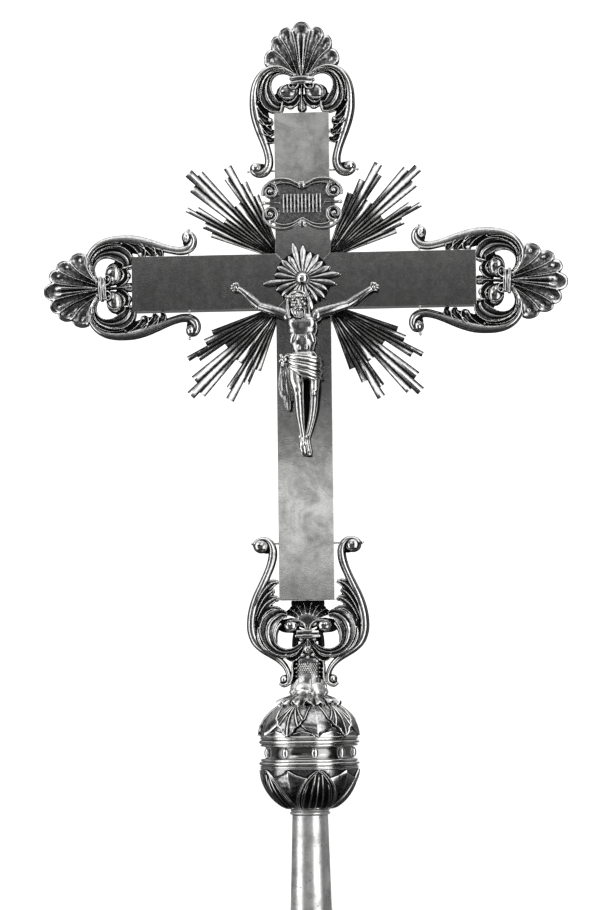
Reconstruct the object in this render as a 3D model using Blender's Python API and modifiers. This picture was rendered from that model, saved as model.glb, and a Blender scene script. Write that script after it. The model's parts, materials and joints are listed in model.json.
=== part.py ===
"""Processional cross head: a sheathed wooden cross with cast scroll-and-shell ends, ray fans,
a title board, a corpus under a nimbus, and a knop with a socket for a staff.

Metres, +Z up. The origin is the centre of the socket's mouth, and the front faces -Y.
"""

from math import cos, pi, radians, sin, tan

import bmesh
import bpy
from mathutils import Matrix, Vector

MM = 0.001
GAP = 0.3 * MM  # between neighbouring pieces

# Cross: four flat arms round a square crossing.
CROSSING_Z = 541 * MM
ARM_WIDTH = 48 * MM
ARM_DEPTH = 20 * MM
SIDE_ARM = 125 * MM
TOP_ARM = 122 * MM
LOWER_ARM = 251 * MM
SHEET = 1.2 * MM
HALF = ARM_WIDTH / 2
FRONT_Y = -ARM_DEPTH / 2
BACK_Y = ARM_DEPTH / 2

# Cast ends, in a frame with its origin at the middle of the arm's end and +Z pointing outwards.
SCROLL_DEPTH = 10 * MM
SHELL_DEPTH = 8 * MM
CLASP_LEVEL = 30.5 * MM
CLASP_SIZE = (19 * MM, 13 * MM, 6 * MM)
CLASP_WINDOW = (15.6 * MM, SCROLL_DEPTH + 2 * GAP)
TANG_HALF_WIDTH = 3.2 * MM  # the stem, which fills the clasp between the two tails
SHELL_LOBES = 7
SHELL_LOBE_STEP = radians(19)

# Through pins, which hold the hooks of each pair of scrolls to the arm between them.
PIN_LEVEL = -49 * MM
PIN_RADIUS = 0.9 * MM
PIN_HALF_LENGTH = 47.5 * MM

# Ray fans: each ray runs from one angle to the next (degrees) and has its own length (mm).
RAY_APEX_INSET = 6 * MM
RAY_THICKNESS = 3.2 * MM
RAYS = [
    (19.6, 23.4, 67), (23.4, 28.0, 76), (28.0, 30.8, 96), (30.8, 34.0, 88), (34.0, 37.7, 62),
    (37.7, 41.9, 102), (41.9, 46.0, 113.5), (46.0, 49.2, 106), (49.2, 55.0, 64),
    (55.0, 58.0, 88), (58.0, 62.5, 96), (62.5, 66.5, 77), (66.5, 71.0, 62.5),
]

# Title board, nimbus and corpus, which stand in front of the sheath.
TITLE_Z = 607 * MM
TITLE_THICKNESS = 2.4 * MM
TITLE_RIVET_REACH = 16.7 * MM
NIMBUS_Z = 542 * MM
BOSS_SHANK = 1.5 * MM
BOSS_HOLE = 1.8 * MM
NIMBUS_THICKNESS = 2 * MM
NIMBUS_STANDOFF = 5 * MM
NIMBUS_RAYS = 28
NAIL_RADIUS = 0.9 * MM
NAIL_HEAD_RADIUS = 2.2 * MM
NAIL_DEPTH = 6 * MM  # how far a nail goes into the core
HAND_LEFT = Vector((-57.6, -14.6, 535)) * MM
HAND_RIGHT = Vector((61.5, -14.6, 533)) * MM
FEET_NAIL = Vector((1.2, -20, 399)) * MM

# Knop and socket, which are turned and raised round the Z axis.
SOCKET_MOUTH_RADIUS = 17.7 * MM
SOCKET_TOP_RADIUS = 15.3 * MM
SOCKET_HEIGHT = 82.6 * MM
SOCKET_WALL = 1.6 * MM
COLLAR_TOP = 87.4 * MM
KNOP_RADIUS = 42.6 * MM
LOWER_BOWL_TOP = 123 * MM
LOWER_BOWL_SEMIAXIS = 40 * MM
DRUM_BOTTOM = 130.4 * MM
DRUM_TOP = 141 * MM
DRUM_RADIUS = 37.6 * MM
DRUM_STUDS = 9
UPPER_BOWL_BOTTOM = 148.8 * MM
UPPER_BOWL_SEMIAXIS = 32.9 * MM
BOWL_WALL = 1.5 * MM
FOOT_RADIUS = 15.4 * MM
FOOT_BOTTOM = 180.4 * MM
FOOT_TOP = 190 * MM
ROD_RADIUS = 4 * MM
ROD_HOLE_RADIUS = 4.3 * MM
NUT_TOP = 75.4 * MM
NUT_HEIGHT = 6.5 * MM
NUT_RADIUS = 7.5 * MM
TURNED_STEPS = 28
SMOOTH_BELOW = radians(35)  # faces that meet at less than this angle are shaded as one
ROD_TURN = radians(5)  # keeps the corners of round bars off the object's own plane of symmetry

MATERIALS = {  # colour, roughness, metallic
    "silver_sheet": ((0.62, 0.62, 0.61), 0.26, 1.0),
    "silver_cast": ((0.66, 0.66, 0.65), 0.30, 1.0),
    "silver_turned": ((0.70, 0.70, 0.69), 0.18, 1.0),
    "silver_figure": ((0.74, 0.74, 0.73), 0.24, 1.0),
    "walnut": ((0.16, 0.09, 0.05), 0.70, 0.0),
    "steel": ((0.35, 0.35, 0.36), 0.45, 1.0),
}


# ---------------------------------------------------------------- scene and materials


def clear_scene():
    for obj in list(bpy.data.objects):
        bpy.data.objects.remove(obj, do_unlink=True)


def make_material(name):
    colour, roughness, metallic = MATERIALS[name]
    material = bpy.data.materials.new(name)
    material.use_nodes = True
    shader = material.node_tree.nodes["Principled BSDF"]
    shader.inputs["Base Color"].default_value = (*colour, 1)
    shader.inputs["Roughness"].default_value = roughness
    shader.inputs["Metallic"].default_value = metallic
    return material


def make_collection(name):
    collection = bpy.data.collections.new(name)
    bpy.context.scene.collection.children.link(collection)
    return collection


def keep(obj, name, material, parent=None):
    """Names a finished piece, gives it its material and files it with the cross."""
    obj.name = name
    obj.data.materials.clear()
    obj.data.materials.append(bpy.data.materials[material])
    obj.data.shade_smooth()
    obj.data.set_sharp_from_angle(angle=SMOOTH_BELOW)
    for collection in list(obj.users_collection):
        collection.objects.unlink(obj)
    bpy.data.collections["processional_cross"].objects.link(obj)
    if parent is not None:
        obj.parent = parent
    return obj


def as_helper(obj):
    """Files a cutter, which no render shows."""
    for collection in list(obj.users_collection):
        collection.objects.unlink(obj)
    bpy.data.collections["cutters"].objects.link(obj)
    obj.hide_render = True
    obj.display_type = "WIRE"
    return obj


# ---------------------------------------------------------------- basic shapes


def link_mesh(mesh, name="shape"):
    obj = bpy.data.objects.new(name, mesh)
    bpy.context.scene.collection.objects.link(obj)
    return obj


def from_bmesh(made, name="shape"):
    mesh = bpy.data.meshes.new(name)
    made.to_mesh(mesh)
    made.free()
    return link_mesh(mesh, name)


def box(low, high):
    low, high = Vector(low), Vector(high)
    size = high - low
    made = bmesh.new()
    place = Matrix.Translation((low + high) / 2) @ Matrix.Diagonal((*size, 1))
    bmesh.ops.create_cube(made, size=1, matrix=place)
    return from_bmesh(made)


def rod_between(start, end, start_radius, end_radius=None, segments=12):
    """A round bar or cone from start to end."""
    start, end = Vector(start), Vector(end)
    along = end - start
    turn = along.to_track_quat("Z", "Y").to_matrix().to_4x4() @ Matrix.Rotation(ROD_TURN, 4, "Z")
    made = bmesh.new()
    bmesh.ops.create_cone(
        made,
        cap_ends=True,
        segments=segments,
        radius1=start_radius,
        radius2=start_radius if end_radius is None else end_radius,
        depth=along.length,
        matrix=Matrix.Translation((start + end) / 2) @ turn,
    )
    return from_bmesh(made)


def ball(centre, radii, segments=12, rings=8):
    """An ellipsoid."""
    made = bmesh.new()
    bmesh.ops.create_uvsphere(
        made,
        u_segments=segments,
        v_segments=rings,
        radius=1,
        matrix=Matrix.Translation(centre) @ Matrix.Diagonal((*radii, 1)),
    )
    return from_bmesh(made)


def flat_outline(points, depth, smooth=False, resolution=1):
    """A plate of this depth whose outline, in X and Z, runs through the points."""
    curve = bpy.data.curves.new("outline", "CURVE")
    curve.dimensions = "2D"
    curve.fill_mode = "BOTH"
    curve.extrude = depth / 2
    curve.resolution_u = resolution
    spline = curve.splines.new("BEZIER" if smooth else "POLY")
    if smooth:
        spline.bezier_points.add(len(points) - 1)
        for bezier, (x, z) in zip(spline.bezier_points, points):
            bezier.co = (x, z, 0)
            bezier.handle_left_type = bezier.handle_right_type = "AUTO"
    else:
        spline.points.add(len(points) - 1)
        for point, (x, z) in zip(spline.points, points):
            point.co = (x, z, 0, 1)
    spline.use_cyclic_u = True
    drawn = bpy.data.objects.new("outline", curve)
    bpy.context.scene.collection.objects.link(drawn)
    bpy.context.view_layer.update()
    mesh = bpy.data.meshes.new_from_object(drawn.evaluated_get(bpy.context.evaluated_depsgraph_get()))
    bpy.data.objects.remove(drawn)
    made = bmesh.new()
    made.from_mesh(mesh)
    bmesh.ops.remove_doubles(made, verts=made.verts, dist=0.01 * MM)
    bmesh.ops.transform(made, matrix=Matrix.Rotation(pi / 2, 4, "X"), verts=made.verts)
    bmesh.ops.recalc_face_normals(made, faces=made.faces)
    bpy.data.meshes.remove(mesh)
    return from_bmesh(made)


def turned(profile, steps=TURNED_STEPS):
    """A ring or cup: the closed profile of (radius, height) points, turned round Z."""
    made = bmesh.new()
    corners = [made.verts.new((radius, 0, height)) for radius, height in profile]
    for corner, following in zip(corners, corners[1:] + corners[:1]):
        made.edges.new((corner, following))
    obj = from_bmesh(made)
    screw = obj.modifiers.new("turn", "SCREW")
    screw.steps = screw.render_steps = steps
    screw.use_merge_vertices = True
    screw.merge_threshold = 0.01 * MM
    screw.use_normal_calculate = True
    return baked(obj)


def baked(obj):
    """Applies the object's modifiers and turns its faces outwards."""
    bpy.context.view_layer.update()
    evaluated = obj.evaluated_get(bpy.context.evaluated_depsgraph_get())
    made = bmesh.new()
    made.from_mesh(evaluated.to_mesh())
    evaluated.to_mesh_clear()
    bmesh.ops.recalc_face_normals(made, faces=made.faces)
    obj.modifiers.clear()
    made.to_mesh(obj.data)
    made.free()
    return obj


def combine(base, others, operation):
    """Joins the others to base, or cuts them from it, and removes them."""
    for other in others:
        boolean = base.modifiers.new(operation.lower(), "BOOLEAN")
        boolean.operation = operation
        boolean.object = other
    baked(base)
    for other in others:
        bpy.data.objects.remove(other)
    return base


def fuse(base, *others):
    return combine(base, others, "UNION")


def cut(base, *cutters):
    return combine(base, cutters, "DIFFERENCE")


def corners_of(obj, place):
    points = [place @ vertex.co for vertex in obj.data.vertices]
    return [(min(p[axis] for p in points), max(p[axis] for p in points)) for axis in range(3)]


def drill(obj, cutters, place=None):
    """Leaves each cutter that reaches the piece in the file, and its hole as a live modifier."""
    piece_box = corners_of(obj, place or Matrix())
    for cutter in cutters:
        cutter_box = corners_of(cutter, Matrix())
        if all(low < high2 and low2 < high for (low, high), (low2, high2) in zip(piece_box, cutter_box)):
            boolean = obj.modifiers.new("hole", "BOOLEAN")
            boolean.operation = "DIFFERENCE"
            boolean.object = cutter
    return obj


# ---------------------------------------------------------------- cross


def arm_frames():
    """Name, length and turn of each arm. In its own frame, which is at the crossing, an arm points up."""
    return [
        ("top", TOP_ARM, 0),
        ("right", SIDE_ARM, 90),
        ("lower", LOWER_ARM, 180),
        ("left", SIDE_ARM, -90),
    ]


def crossing_frame(turn):
    return Matrix.Translation((0, 0, CROSSING_Z)) @ Matrix.Rotation(radians(turn), 4, "Y")


def arm_tray(length):
    """Front sheet with its side walls and end cap. Its inner end is a mitre that stops at the boss."""
    end, side = HALF + length, HALF - GAP
    tip = BOSS_HOLE + MM
    outline = [(-tip + GAP, tip), (tip - GAP, tip), (side, HALF), (side, end), (-side, end), (-side, HALF)]
    tray = flat_outline(outline, ARM_DEPTH)
    inner = HALF - GAP - SHEET
    hollow = box((-inner, FRONT_Y + SHEET, HALF), (inner, BACK_Y + SHEET, end - SHEET))
    behind_mitre = box((-HALF, FRONT_Y + SHEET, -HALF), (HALF, BACK_Y + SHEET, HALF + 2 * MM))
    return cut(tray, hollow, behind_mitre)


def core_beam(low, high, along_x):
    """A wooden beam with a half-lap at the crossing: the upright's lap is cut from the front."""
    wide = HALF - GAP - SHEET - GAP
    front, back = FRONT_Y + SHEET + GAP, BACK_Y - SHEET - GAP
    middle = (front + back) / 2
    lap = wide + GAP
    if along_x:
        beam = box((low, front, CROSSING_Z - wide), (high, back, CROSSING_Z + wide))
        notch = box((-lap, middle - GAP / 2, CROSSING_Z - HALF), (lap, back + MM, CROSSING_Z + HALF))
    else:
        beam = box((-wide, front, low), (wide, back, high))
        notch = box((-HALF, front - MM, CROSSING_Z - lap), (HALF, middle + GAP / 2, CROSSING_Z + lap))
    return cut(beam, notch)


def back_sheet():
    """One cross-shaped sheet that closes the back, inside the tray walls."""
    wide = HALF - 2 * GAP - SHEET
    side = HALF + SIDE_ARM - SHEET - GAP
    top = HALF + TOP_ARM - SHEET - GAP
    foot = -HALF - LOWER_ARM + SHEET + GAP
    quarter = [(wide, top), (wide, wide), (side, wide), (side, -wide), (wide, -wide), (wide, foot)]
    outline = quarter + [(-x, z) for x, z in reversed(quarter)]
    sheet = flat_outline(outline, SHEET)
    sheet.location = (0, BACK_Y - SHEET / 2, CROSSING_Z)
    return sheet


def make_cross(holes):
    end = HALF - SHEET - GAP
    upright = core_beam(
        CROSSING_Z - end - LOWER_ARM, CROSSING_Z + end + TOP_ARM, along_x=False
    )
    crossbar = core_beam(-end - SIDE_ARM, end + SIDE_ARM, along_x=True)
    pieces = {"core_upright": upright, "core_crossbar": crossbar}
    for name, length, turn in arm_frames():
        tray = arm_tray(length)
        tray.data.transform(crossing_frame(turn))
        pieces[f"sheath_{name}"] = tray
    for name, piece in pieces.items():
        keep(drill(piece, holes), name, "walnut" if name.startswith("core") else "silver_sheet")
    keep(back_sheet(), "back_sheet", "silver_sheet")


# ---------------------------------------------------------------- cast ends

# Outline of one scroll of a top or side end: tail, back, stem, hook, leaf edge and eye.
SCROLL_OUTLINE = [
    (3.6, 26.3), (3.6, 37.4), (12.0, 41.4), (21.5, 44.2), (30.5, 43.0), (37.5, 38.0),
    (42.5, 29.5), (45.0, 19.0), (45.2, 10.0), (43.8, 0.0), (41.0, -10.0), (37.5, -19.0),
    (34.5, -27.5), (32.7, -36.0), (34.0, -41.2), (39.0, -42.3), (44.0, -44.5), (45.5, -49.5),
    (43.0, -54.5), (37.5, -56.5), (31.5, -55.5), (27.0, -51.0), (25.3, -45.0), (25.5, -39.0),
    (27.5, -32.0), (28.6, -25.5), (24.6, -21.5), (24.8, -17.0), (29.0, -14.0), (26.4, -9.5),
    (26.6, -4.0), (25.5, 0.8), (19.0, 0.9), (15.8, 4.0), (18.5, 9.5), (23.5, 13.0), (27.0, 19.5),
    (27.3, 26.5), (24.5, 33.0), (18.5, 36.6), (12.0, 37.0), (7.3, 34.2), (7.3, 26.3),
]

# Where the scrolls at an end's own -X and +X lie on the cross.
SCROLL_SIDES = {
    "top": ("left", "right"),
    "right": ("upper", "lower"),
    "lower": ("right", "left"),
    "left": ("lower", "upper"),
}

# The scroll outline of the lower end, whose back runs on into the foot.
LOWER_SCROLL_OUTLINE = [
    (3.6, 26.3), (3.6, 37.0), (6.2, 41.0), (11.0, 44.5), (15.5, 48.0), (17.6, 53.0), (18.2, 58.6),
    (24.5, 54.2), (31.5, 50.0), (39.0, 44.8), (45.2, 38.7), (49.5, 32.7), (51.6, 25.0),
    (51.8, 16.4), (50.3, 7.7), (46.9, -0.9), (42.6, -9.5), (38.3, -18.1), (34.8, -26.7),
    (32.3, -35.3), (32.8, -40.0), (39.6, -41.0), (44.3, -44.0), (45.2, -48.5), (41.3, -52.6),
    (36.0, -54.4), (31.0, -53.3), (27.2, -49.9), (25.4, -44.7), (25.4, -38.7), (26.8, -31.0),
    (28.8, -24.9), (29.6, -19.5), (24.6, -17.6), (24.6, -12.0), (27.1, -8.6), (29.5, -2.0),
    (27.0, 1.5), (26.4, 5.5), (20.4, 10.3), (16.2, 13.2), (22.0, 15.0), (23.8, 19.0),
    (23.8, 25.0), (26.2, 31.0), (25.4, 37.0), (21.0, 41.2), (15.9, 41.2), (11.0, 38.0),
    (7.3, 34.0), (7.3, 26.3),
]


def scroll(outline, side):
    points = [(side * x * MM, z * MM) for x, z in outline]
    return flat_outline(points, SCROLL_DEPTH, smooth=True)


def shell():
    """Fan of lobes over the clasp. The outermost lobes are shorter than the middle one."""
    hub = 30 * MM
    outline = []
    samples = 6
    span = SHELL_LOBES * SHELL_LOBE_STEP
    for i in range(SHELL_LOBES * samples + 1):
        angle = span * (i / (SHELL_LOBES * samples) - 0.5)
        reach = 46.8 * MM - 9.5 * MM * abs(angle / span * 2) ** 1.3
        scallop = abs(sin(pi * (angle / SHELL_LOBE_STEP + SHELL_LOBES / 2)))
        reach *= 0.9 + 0.1 * scallop ** 0.6
        outline.append((reach * sin(angle), hub + reach * cos(angle)))
    base = [(30.0, 44.6), (21.0, 46.0), (11.5, 42.6), (3.3, 38.0), (TANG_HALF_WIDTH / MM, 30.8)]
    outline += [(x * MM, z * MM) for x, z in base]
    outline += [(-x * MM, z * MM) for x, z in reversed(base)]
    return flat_outline(outline, SHELL_DEPTH)


def small_shell():
    """Half palmette of the lower end, between the curled leaves and the arm."""
    hub = 16.5 * MM
    outline = []
    steps = 15
    for i in range(steps + 1):
        angle = radians(-68 + 136 * i / steps)
        reach = (14.2 + 0.7 * (i % 3)) * MM
        outline.append((1.25 * reach * sin(angle), hub - reach * cos(angle)))
    outline += [(4 * MM, 17.5 * MM), (-4 * MM, 17.5 * MM)]
    return flat_outline(outline, 6 * MM)


def curled_leaves(centre, radii, bud_tip, stem_low, stem_top):
    """Two leaves curled into balls beside a stem. A bud points at the arm."""
    stem = box((-TANG_HALF_WIDTH, -3 * MM, stem_low), (TANG_HALF_WIDTH, 3 * MM, stem_top))
    leaves = [ball((side * centre[0] * MM, 0, centre[1] * MM), [r * MM for r in radii]) for side in (-1, 1)]
    bud = rod_between((0, 0, bud_tip), (0, 0, stem_low + MM), 1.2 * MM, TANG_HALF_WIDTH, 10)
    return fuse(stem, *leaves, bud)


def clasp():
    """Band round the tails of both scrolls and the stem between them."""
    wide, deep, high = CLASP_SIZE
    window, window_depth = CLASP_WINDOW
    low, top = CLASP_LEVEL - high / 2, CLASP_LEVEL + high / 2
    band = box((-wide / 2, -deep / 2, low), (wide / 2, deep / 2, top))
    opening = box((-window / 2, -window_depth / 2, low - MM), (window / 2, window_depth / 2, top + MM))
    return cut(band, opening)


def foot():
    """Neck of the lower end, which stands on the knop. It carries a pendant and two small volutes."""
    right = [
        (0, 37.5), (5.6, 42.3), (10.4, 46.4), (14.8, 50.0), (16.8, 54.0), (17.4, 59.6),
        (14.8, 64.0), (17.0, 70.5), (15.6, 76.0),
    ]
    outline = [(x * MM, z * MM) for x, z in right] + [(-x * MM, z * MM) for x, z in reversed(right[1:])]
    neck = flat_outline(outline, 12 * MM)
    additions = []
    for side in (-1, 1):
        centre = side * 20.6 * MM
        front, back = (centre, -5 * MM, 69 * MM), (centre, 5 * MM, 69 * MM)
        additions.append(rod_between(front, back, 5.2 * MM, segments=14))
        near, far = sorted((side * 14 * MM, side * 19 * MM))
        additions.append(box((near, -4 * MM, 64.5 * MM), (far, 4 * MM, 72.5 * MM)))
    end_z = CROSSING_Z - HALF - LOWER_ARM
    base = rod_between((0, 0, end_z - FOOT_TOP - MM), (0, 0, end_z - FOOT_BOTTOM), FOOT_RADIUS, segments=24)
    rod_hole = rod_between((0, 0, 62 * MM), (0, 0, 100 * MM), ROD_HOLE_RADIUS, segments=16)
    return cut(fuse(neck, *additions, base), rod_hole)


def end_frame(name, length, turn):
    """An empty at the middle of an arm's end, whose +Z points outwards."""
    frame = bpy.data.objects.new(f"{name}_end_frame", None)
    bpy.data.collections["processional_cross"].objects.link(frame)
    frame.matrix_world = crossing_frame(turn) @ Matrix.Translation((0, 0, HALF + length))
    return frame


def make_ends(pin_holes):
    for name, length, turn in arm_frames():
        lower = name == "lower"
        frame = end_frame(name, length, turn)
        outline = LOWER_SCROLL_OUTLINE if lower else SCROLL_OUTLINE
        for side, label in zip((-1, 1), SCROLL_SIDES[name]):
            piece = drill(scroll(outline, side), [pin_holes[name]], frame.matrix_world)
            keep(piece, f"{name}_scroll_{label}", "silver_cast", frame)
        keep(small_shell() if lower else shell(), f"{name}_shell", "silver_cast", frame)
        if lower:
            leaves = curled_leaves((11.2, 21.6), (8.6, 7.0, 5.4), 17.9 * MM, 19 * MM, 34 * MM)
        else:
            leaves = curled_leaves((11.4, 18.9), (9.0, 7.4, 7.4), 0.6 * MM, 12 * MM, 30.5 * MM)
        keep(leaves, f"{name}_curled_leaves", "silver_cast", frame)
        keep(clasp(), f"{name}_clasp", "silver_cast", frame)
        pin = through_pin(PIN_HALF_LENGTH, PIN_RADIUS)
        keep(pin, f"{name}_through_pin", "silver_turned", frame)
        if lower:
            keep(foot(), "lower_foot", "silver_cast", frame)


def through_pin(half_length, radius):
    return rod_between((-half_length, 0, PIN_LEVEL), (half_length, 0, PIN_LEVEL), radius, segments=10)


def make_pin_cutters():
    cutters = {}
    for name, length, turn in arm_frames():
        reach = PIN_HALF_LENGTH + 2 * MM
        cutter = through_pin(reach, PIN_RADIUS + GAP)
        cutter.data.transform(crossing_frame(turn) @ Matrix.Translation((0, 0, HALF + length)))
        cutter.name = f"{name}_pin_cutter"
        cutters[name] = as_helper(cutter)
    return cutters


# ---------------------------------------------------------------- ray fans


def ray_fan():
    """Stepped fan of rays for the corner between the top arm and the right arm."""
    apex = HALF - RAY_APEX_INSET
    outline = [(HALF, HALF), (apex + RAY_APEX_INSET / tan(radians(RAYS[0][0])), HALF)]
    for low, high, length in RAYS:
        for angle in (radians(low), radians(high)):
            outline.append((apex + length * MM * cos(angle), apex + length * MM * sin(angle)))
    outline.append((HALF, apex + RAY_APEX_INSET * tan(radians(RAYS[-1][1]))))
    return flat_outline(outline, RAY_THICKNESS)


def make_ray_fans():
    for name, turn in (("upper_right", 0), ("lower_right", 90), ("lower_left", 180), ("upper_left", 270)):
        fan = ray_fan()
        # The ray table starts at the top arm, so the fan is mirrored across its own diagonal.
        fan.data.transform(Matrix(((0, 0, 1, 0), (0, 1, 0, 0), (1, 0, 0, 0), (0, 0, 0, 1))))
        fan.data.flip_normals()
        fan.data.transform(crossing_frame(turn))
        keep(fan, f"rays_{name}", "silver_cast")


# ---------------------------------------------------------------- title board, nimbus, corpus


def make_title(holes):
    half = [
        (0, 20.0), (8, 21.6), (17, 22.4), (25, 21.4), (32, 18.0), (34.5, 12.0), (32.5, 6.0),
        (29.5, 2.0), (32.5, -2.5), (34.0, -8.5), (31.5, -15.0), (26.5, -19.5), (18, -22.0), (8, -20.6),
    ]
    outline = [(x * MM, z * MM) for x, z in half] + [(0, -19 * MM)]
    outline += [(-x * MM, z * MM) for x, z in reversed(half[1:])]
    board = flat_outline(outline, TITLE_THICKNESS, smooth=True)
    board.data.transform(Matrix.Translation((0, FRONT_Y - GAP - TITLE_THICKNESS / 2, TITLE_Z)))
    keep(drill(board, holes), "title_board", "silver_cast")


def make_rivet(name, x, z, front, head_radius, shank_radius, material):
    """Dome-headed rivet or nail that runs back into the core."""
    tip = FRONT_Y + SHEET + NAIL_DEPTH
    head = ball((x, front, z), (head_radius, head_radius * 0.7, head_radius), 12, 8)
    reach = head_radius * 2
    flat = box((x - reach, front, z - reach), (x + reach, front + reach, z + reach))
    shank = rod_between((x, front - head_radius * 0.3, z), (x, tip, z), shank_radius, segments=10)
    keep(fuse(cut(head, flat), shank), name, material)


def hole_cutter(name, x, z, radius):
    """Runs from in front of the whole object into the core."""
    cutter = rod_between((x, -60 * MM, z), (x, FRONT_Y + SHEET + NAIL_DEPTH + MM, z), radius, segments=12)
    cutter.name = name
    return as_helper(cutter)


def make_nimbus(hole):
    """Star of petal-shaped rays, longest to the top and the sides."""
    outline = []
    samples = 4
    for i in range(NIMBUS_RAYS * samples):
        angle = 2 * pi * i / (NIMBUS_RAYS * samples)
        reach = 30 * MM + 5.5 * MM * cos(2 * angle) ** 2 * (1 if sin(angle) > -0.5 else 0.4)
        swell = abs(cos(angle * NIMBUS_RAYS / 2))
        reach *= 0.84 + 0.16 * swell
        outline.append((reach * cos(angle), 0.92 * reach * sin(angle)))
    star = flat_outline(outline, NIMBUS_THICKNESS)
    star.data.transform(Matrix.Translation((0, FRONT_Y - NIMBUS_STANDOFF, NIMBUS_Z)))
    keep(drill(star, [hole]), "nimbus", "silver_figure")


def soft_union(shapes, voxel, ratio):
    """Melts overlapping shapes into one closed skin and thins its faces out."""
    made = bmesh.new()
    for shape in shapes:
        made.from_mesh(shape.data)
        bpy.data.objects.remove(shape)
    body = from_bmesh(made)
    remesh = body.modifiers.new("skin", "REMESH")
    remesh.mode = "VOXEL"
    remesh.voxel_size = voxel
    thin = body.modifiers.new("thin", "DECIMATE")
    thin.ratio = ratio
    return baked(body)


def limb(points):
    """Tapered bars through (x, y, z, radius) points in millimetres, with a ball at each joint."""
    shapes = []
    for x, y, z, radius in points:
        shapes.append(ball((x * MM, y * MM, z * MM), [radius * MM] * 3, 10, 6))
    for (x, y, z, radius), (x2, y2, z2, radius2) in zip(points, points[1:]):
        start, end = Vector((x, y, z)) * MM, Vector((x2, y2, z2)) * MM
        shapes.append(rod_between(start, end, radius * MM, radius2 * MM, 10))
    return shapes


# Joints of each limb from the body outwards: place and radius in millimetres.
LEFT_ARM = [
    (-15.5, -22, 510.5, 4.9), (-34, -20, 517.5, 3.7), (-52, -15.4, 531, 2.4), (-57.6, -14.6, 535, 3.6),
]
RIGHT_ARM = [
    (17.0, -22, 511, 4.9), (33.5, -20, 518.5, 3.7), (56, -15.4, 530, 2.4), (61.5, -14.6, 533, 3.6),
]
LEFT_LEG = [
    (-6, -22, 466, 7.0), (-2.2, -32, 441, 5.4), (-3, -27, 426, 5.0), (0, -19.5, 406, 3.2), (0.8, -20, 392, 3.6),
]
RIGHT_LEG = [(8, -22, 466, 7.0), (9.2, -31, 442, 5.2), (9.2, -25, 426, 4.6), (1.5, -18, 407, 3.2)]


def make_corpus(nail_holes):
    """Figure with separately cast arms, which meet the shoulders with a gap."""
    trunk = [
        ball((-2.6 * MM, -30 * MM, 523 * MM), (8.5 * MM, 9 * MM, 11.5 * MM)),
        *limb([(-1.5, -27, 514, 4.5), (0.5, -22, 506, 6.0)]),
        ball((0.5 * MM, -22.5 * MM, 500 * MM), (11.5 * MM, 7.5 * MM, 11 * MM)),
        ball((0.8 * MM, -21.5 * MM, 486 * MM), (10 * MM, 6.5 * MM, 11 * MM)),
        ball((0.5 * MM, -21.5 * MM, 469 * MM), (14 * MM, 9 * MM, 9.5 * MM)),
        *limb([(-15.5, -20, 471, 3.6), (-16.5, -18, 452, 3.8), (-13.5, -17, 432, 3.6)]),
    ]
    legs = limb(LEFT_LEG) + limb(RIGHT_LEG)
    figure = soft_union(trunk + legs, 1.7 * MM, 0.13)
    drill(figure, nail_holes[2:])
    socket_left = ball((-15.5 * MM, -22 * MM, 510.5 * MM), [6.2 * MM] * 3)
    socket_right = ball((17.0 * MM, -22 * MM, 511 * MM), [6.2 * MM] * 3)
    keep(cut(figure, socket_left, socket_right), "corpus", "silver_figure")
    for name, points, hole in (("left", LEFT_ARM, nail_holes[0]), ("right", RIGHT_ARM, nail_holes[1])):
        arm = soft_union(limb(points), 1.1 * MM, 0.1)
        keep(drill(arm, [hole]), f"corpus_arm_{name}", "silver_figure")


# ---------------------------------------------------------------- knop and socket


def bowl(rim_z, semiaxis, end_z):
    """Raised shell of the knop: an ellipse from the rim to a flat end with a hole for the rod."""
    up = 1 if end_z > rim_z else -1
    rise = abs(end_z - rim_z)
    steps = 7
    outer, inner = [], []
    for i in range(steps + 1):
        height = rise * sin(pi / 2 * i / steps)
        outer.append((KNOP_RADIUS * (1 - (height / semiaxis) ** 2) ** 0.5, rim_z + up * height))
        height = (rise - BOWL_WALL) * sin(pi / 2 * i / steps)
        radius = (KNOP_RADIUS - BOWL_WALL) * (1 - (height / (semiaxis - BOWL_WALL)) ** 2) ** 0.5
        inner.append((radius, rim_z + up * height))
    hole = [(ROD_HOLE_RADIUS, end_z), (ROD_HOLE_RADIUS, end_z - up * BOWL_WALL)]
    return turned(outer + hole + inner[::-1])


def ring_moulding(low, high, facing_up):
    """Two beads and a fillet, with the larger bead on the bowl's side."""
    heavy, light = KNOP_RADIUS + 0.6 * MM, KNOP_RADIUS - 0.8 * MM
    rise = high - low
    shares = [(0.0, 0.55), (0.14, 1.0), (0.46, 1.0), (0.6, 0.2), (0.8, 0.35), (1.0, -0.6)]
    outer = []
    for share, swell in shares:
        radius = light + (heavy - light) * swell
        height = low + rise * share if facing_up else high - rise * share
        outer.append((radius, height))
    inner = 33 * MM
    return turned(outer + [(inner, outer[-1][1]), (inner, outer[0][1])])


def drum():
    """Waisted band with upright oval studs round it."""
    rise = DRUM_TOP - DRUM_BOTTOM
    outer = []
    for i in range(4):
        share = i / 3
        waist = 0.9 * MM * sin(pi * share)
        outer.append((DRUM_RADIUS - waist, DRUM_BOTTOM + GAP + share * (rise - 2 * GAP)))
    inner = DRUM_RADIUS - 3 * MM
    band = turned(outer + [(inner, outer[-1][1]), (inner, outer[0][1])])
    middle = (DRUM_BOTTOM + DRUM_TOP) / 2
    studs = []
    for i in range(DRUM_STUDS):
        angle = radians(-90 + 11.8) + 2 * pi * i / DRUM_STUDS
        stud = ball((0, 0, 0), (2.2 * MM, 2.6 * MM, 3.9 * MM), 8, 6)
        out_to_wall = Matrix.Translation((DRUM_RADIUS - 1.2 * MM, 0, middle))
        stud.data.transform(Matrix.Rotation(angle, 4, "Z") @ out_to_wall)
        studs.append(stud)
    return fuse(band, *studs)


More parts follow.
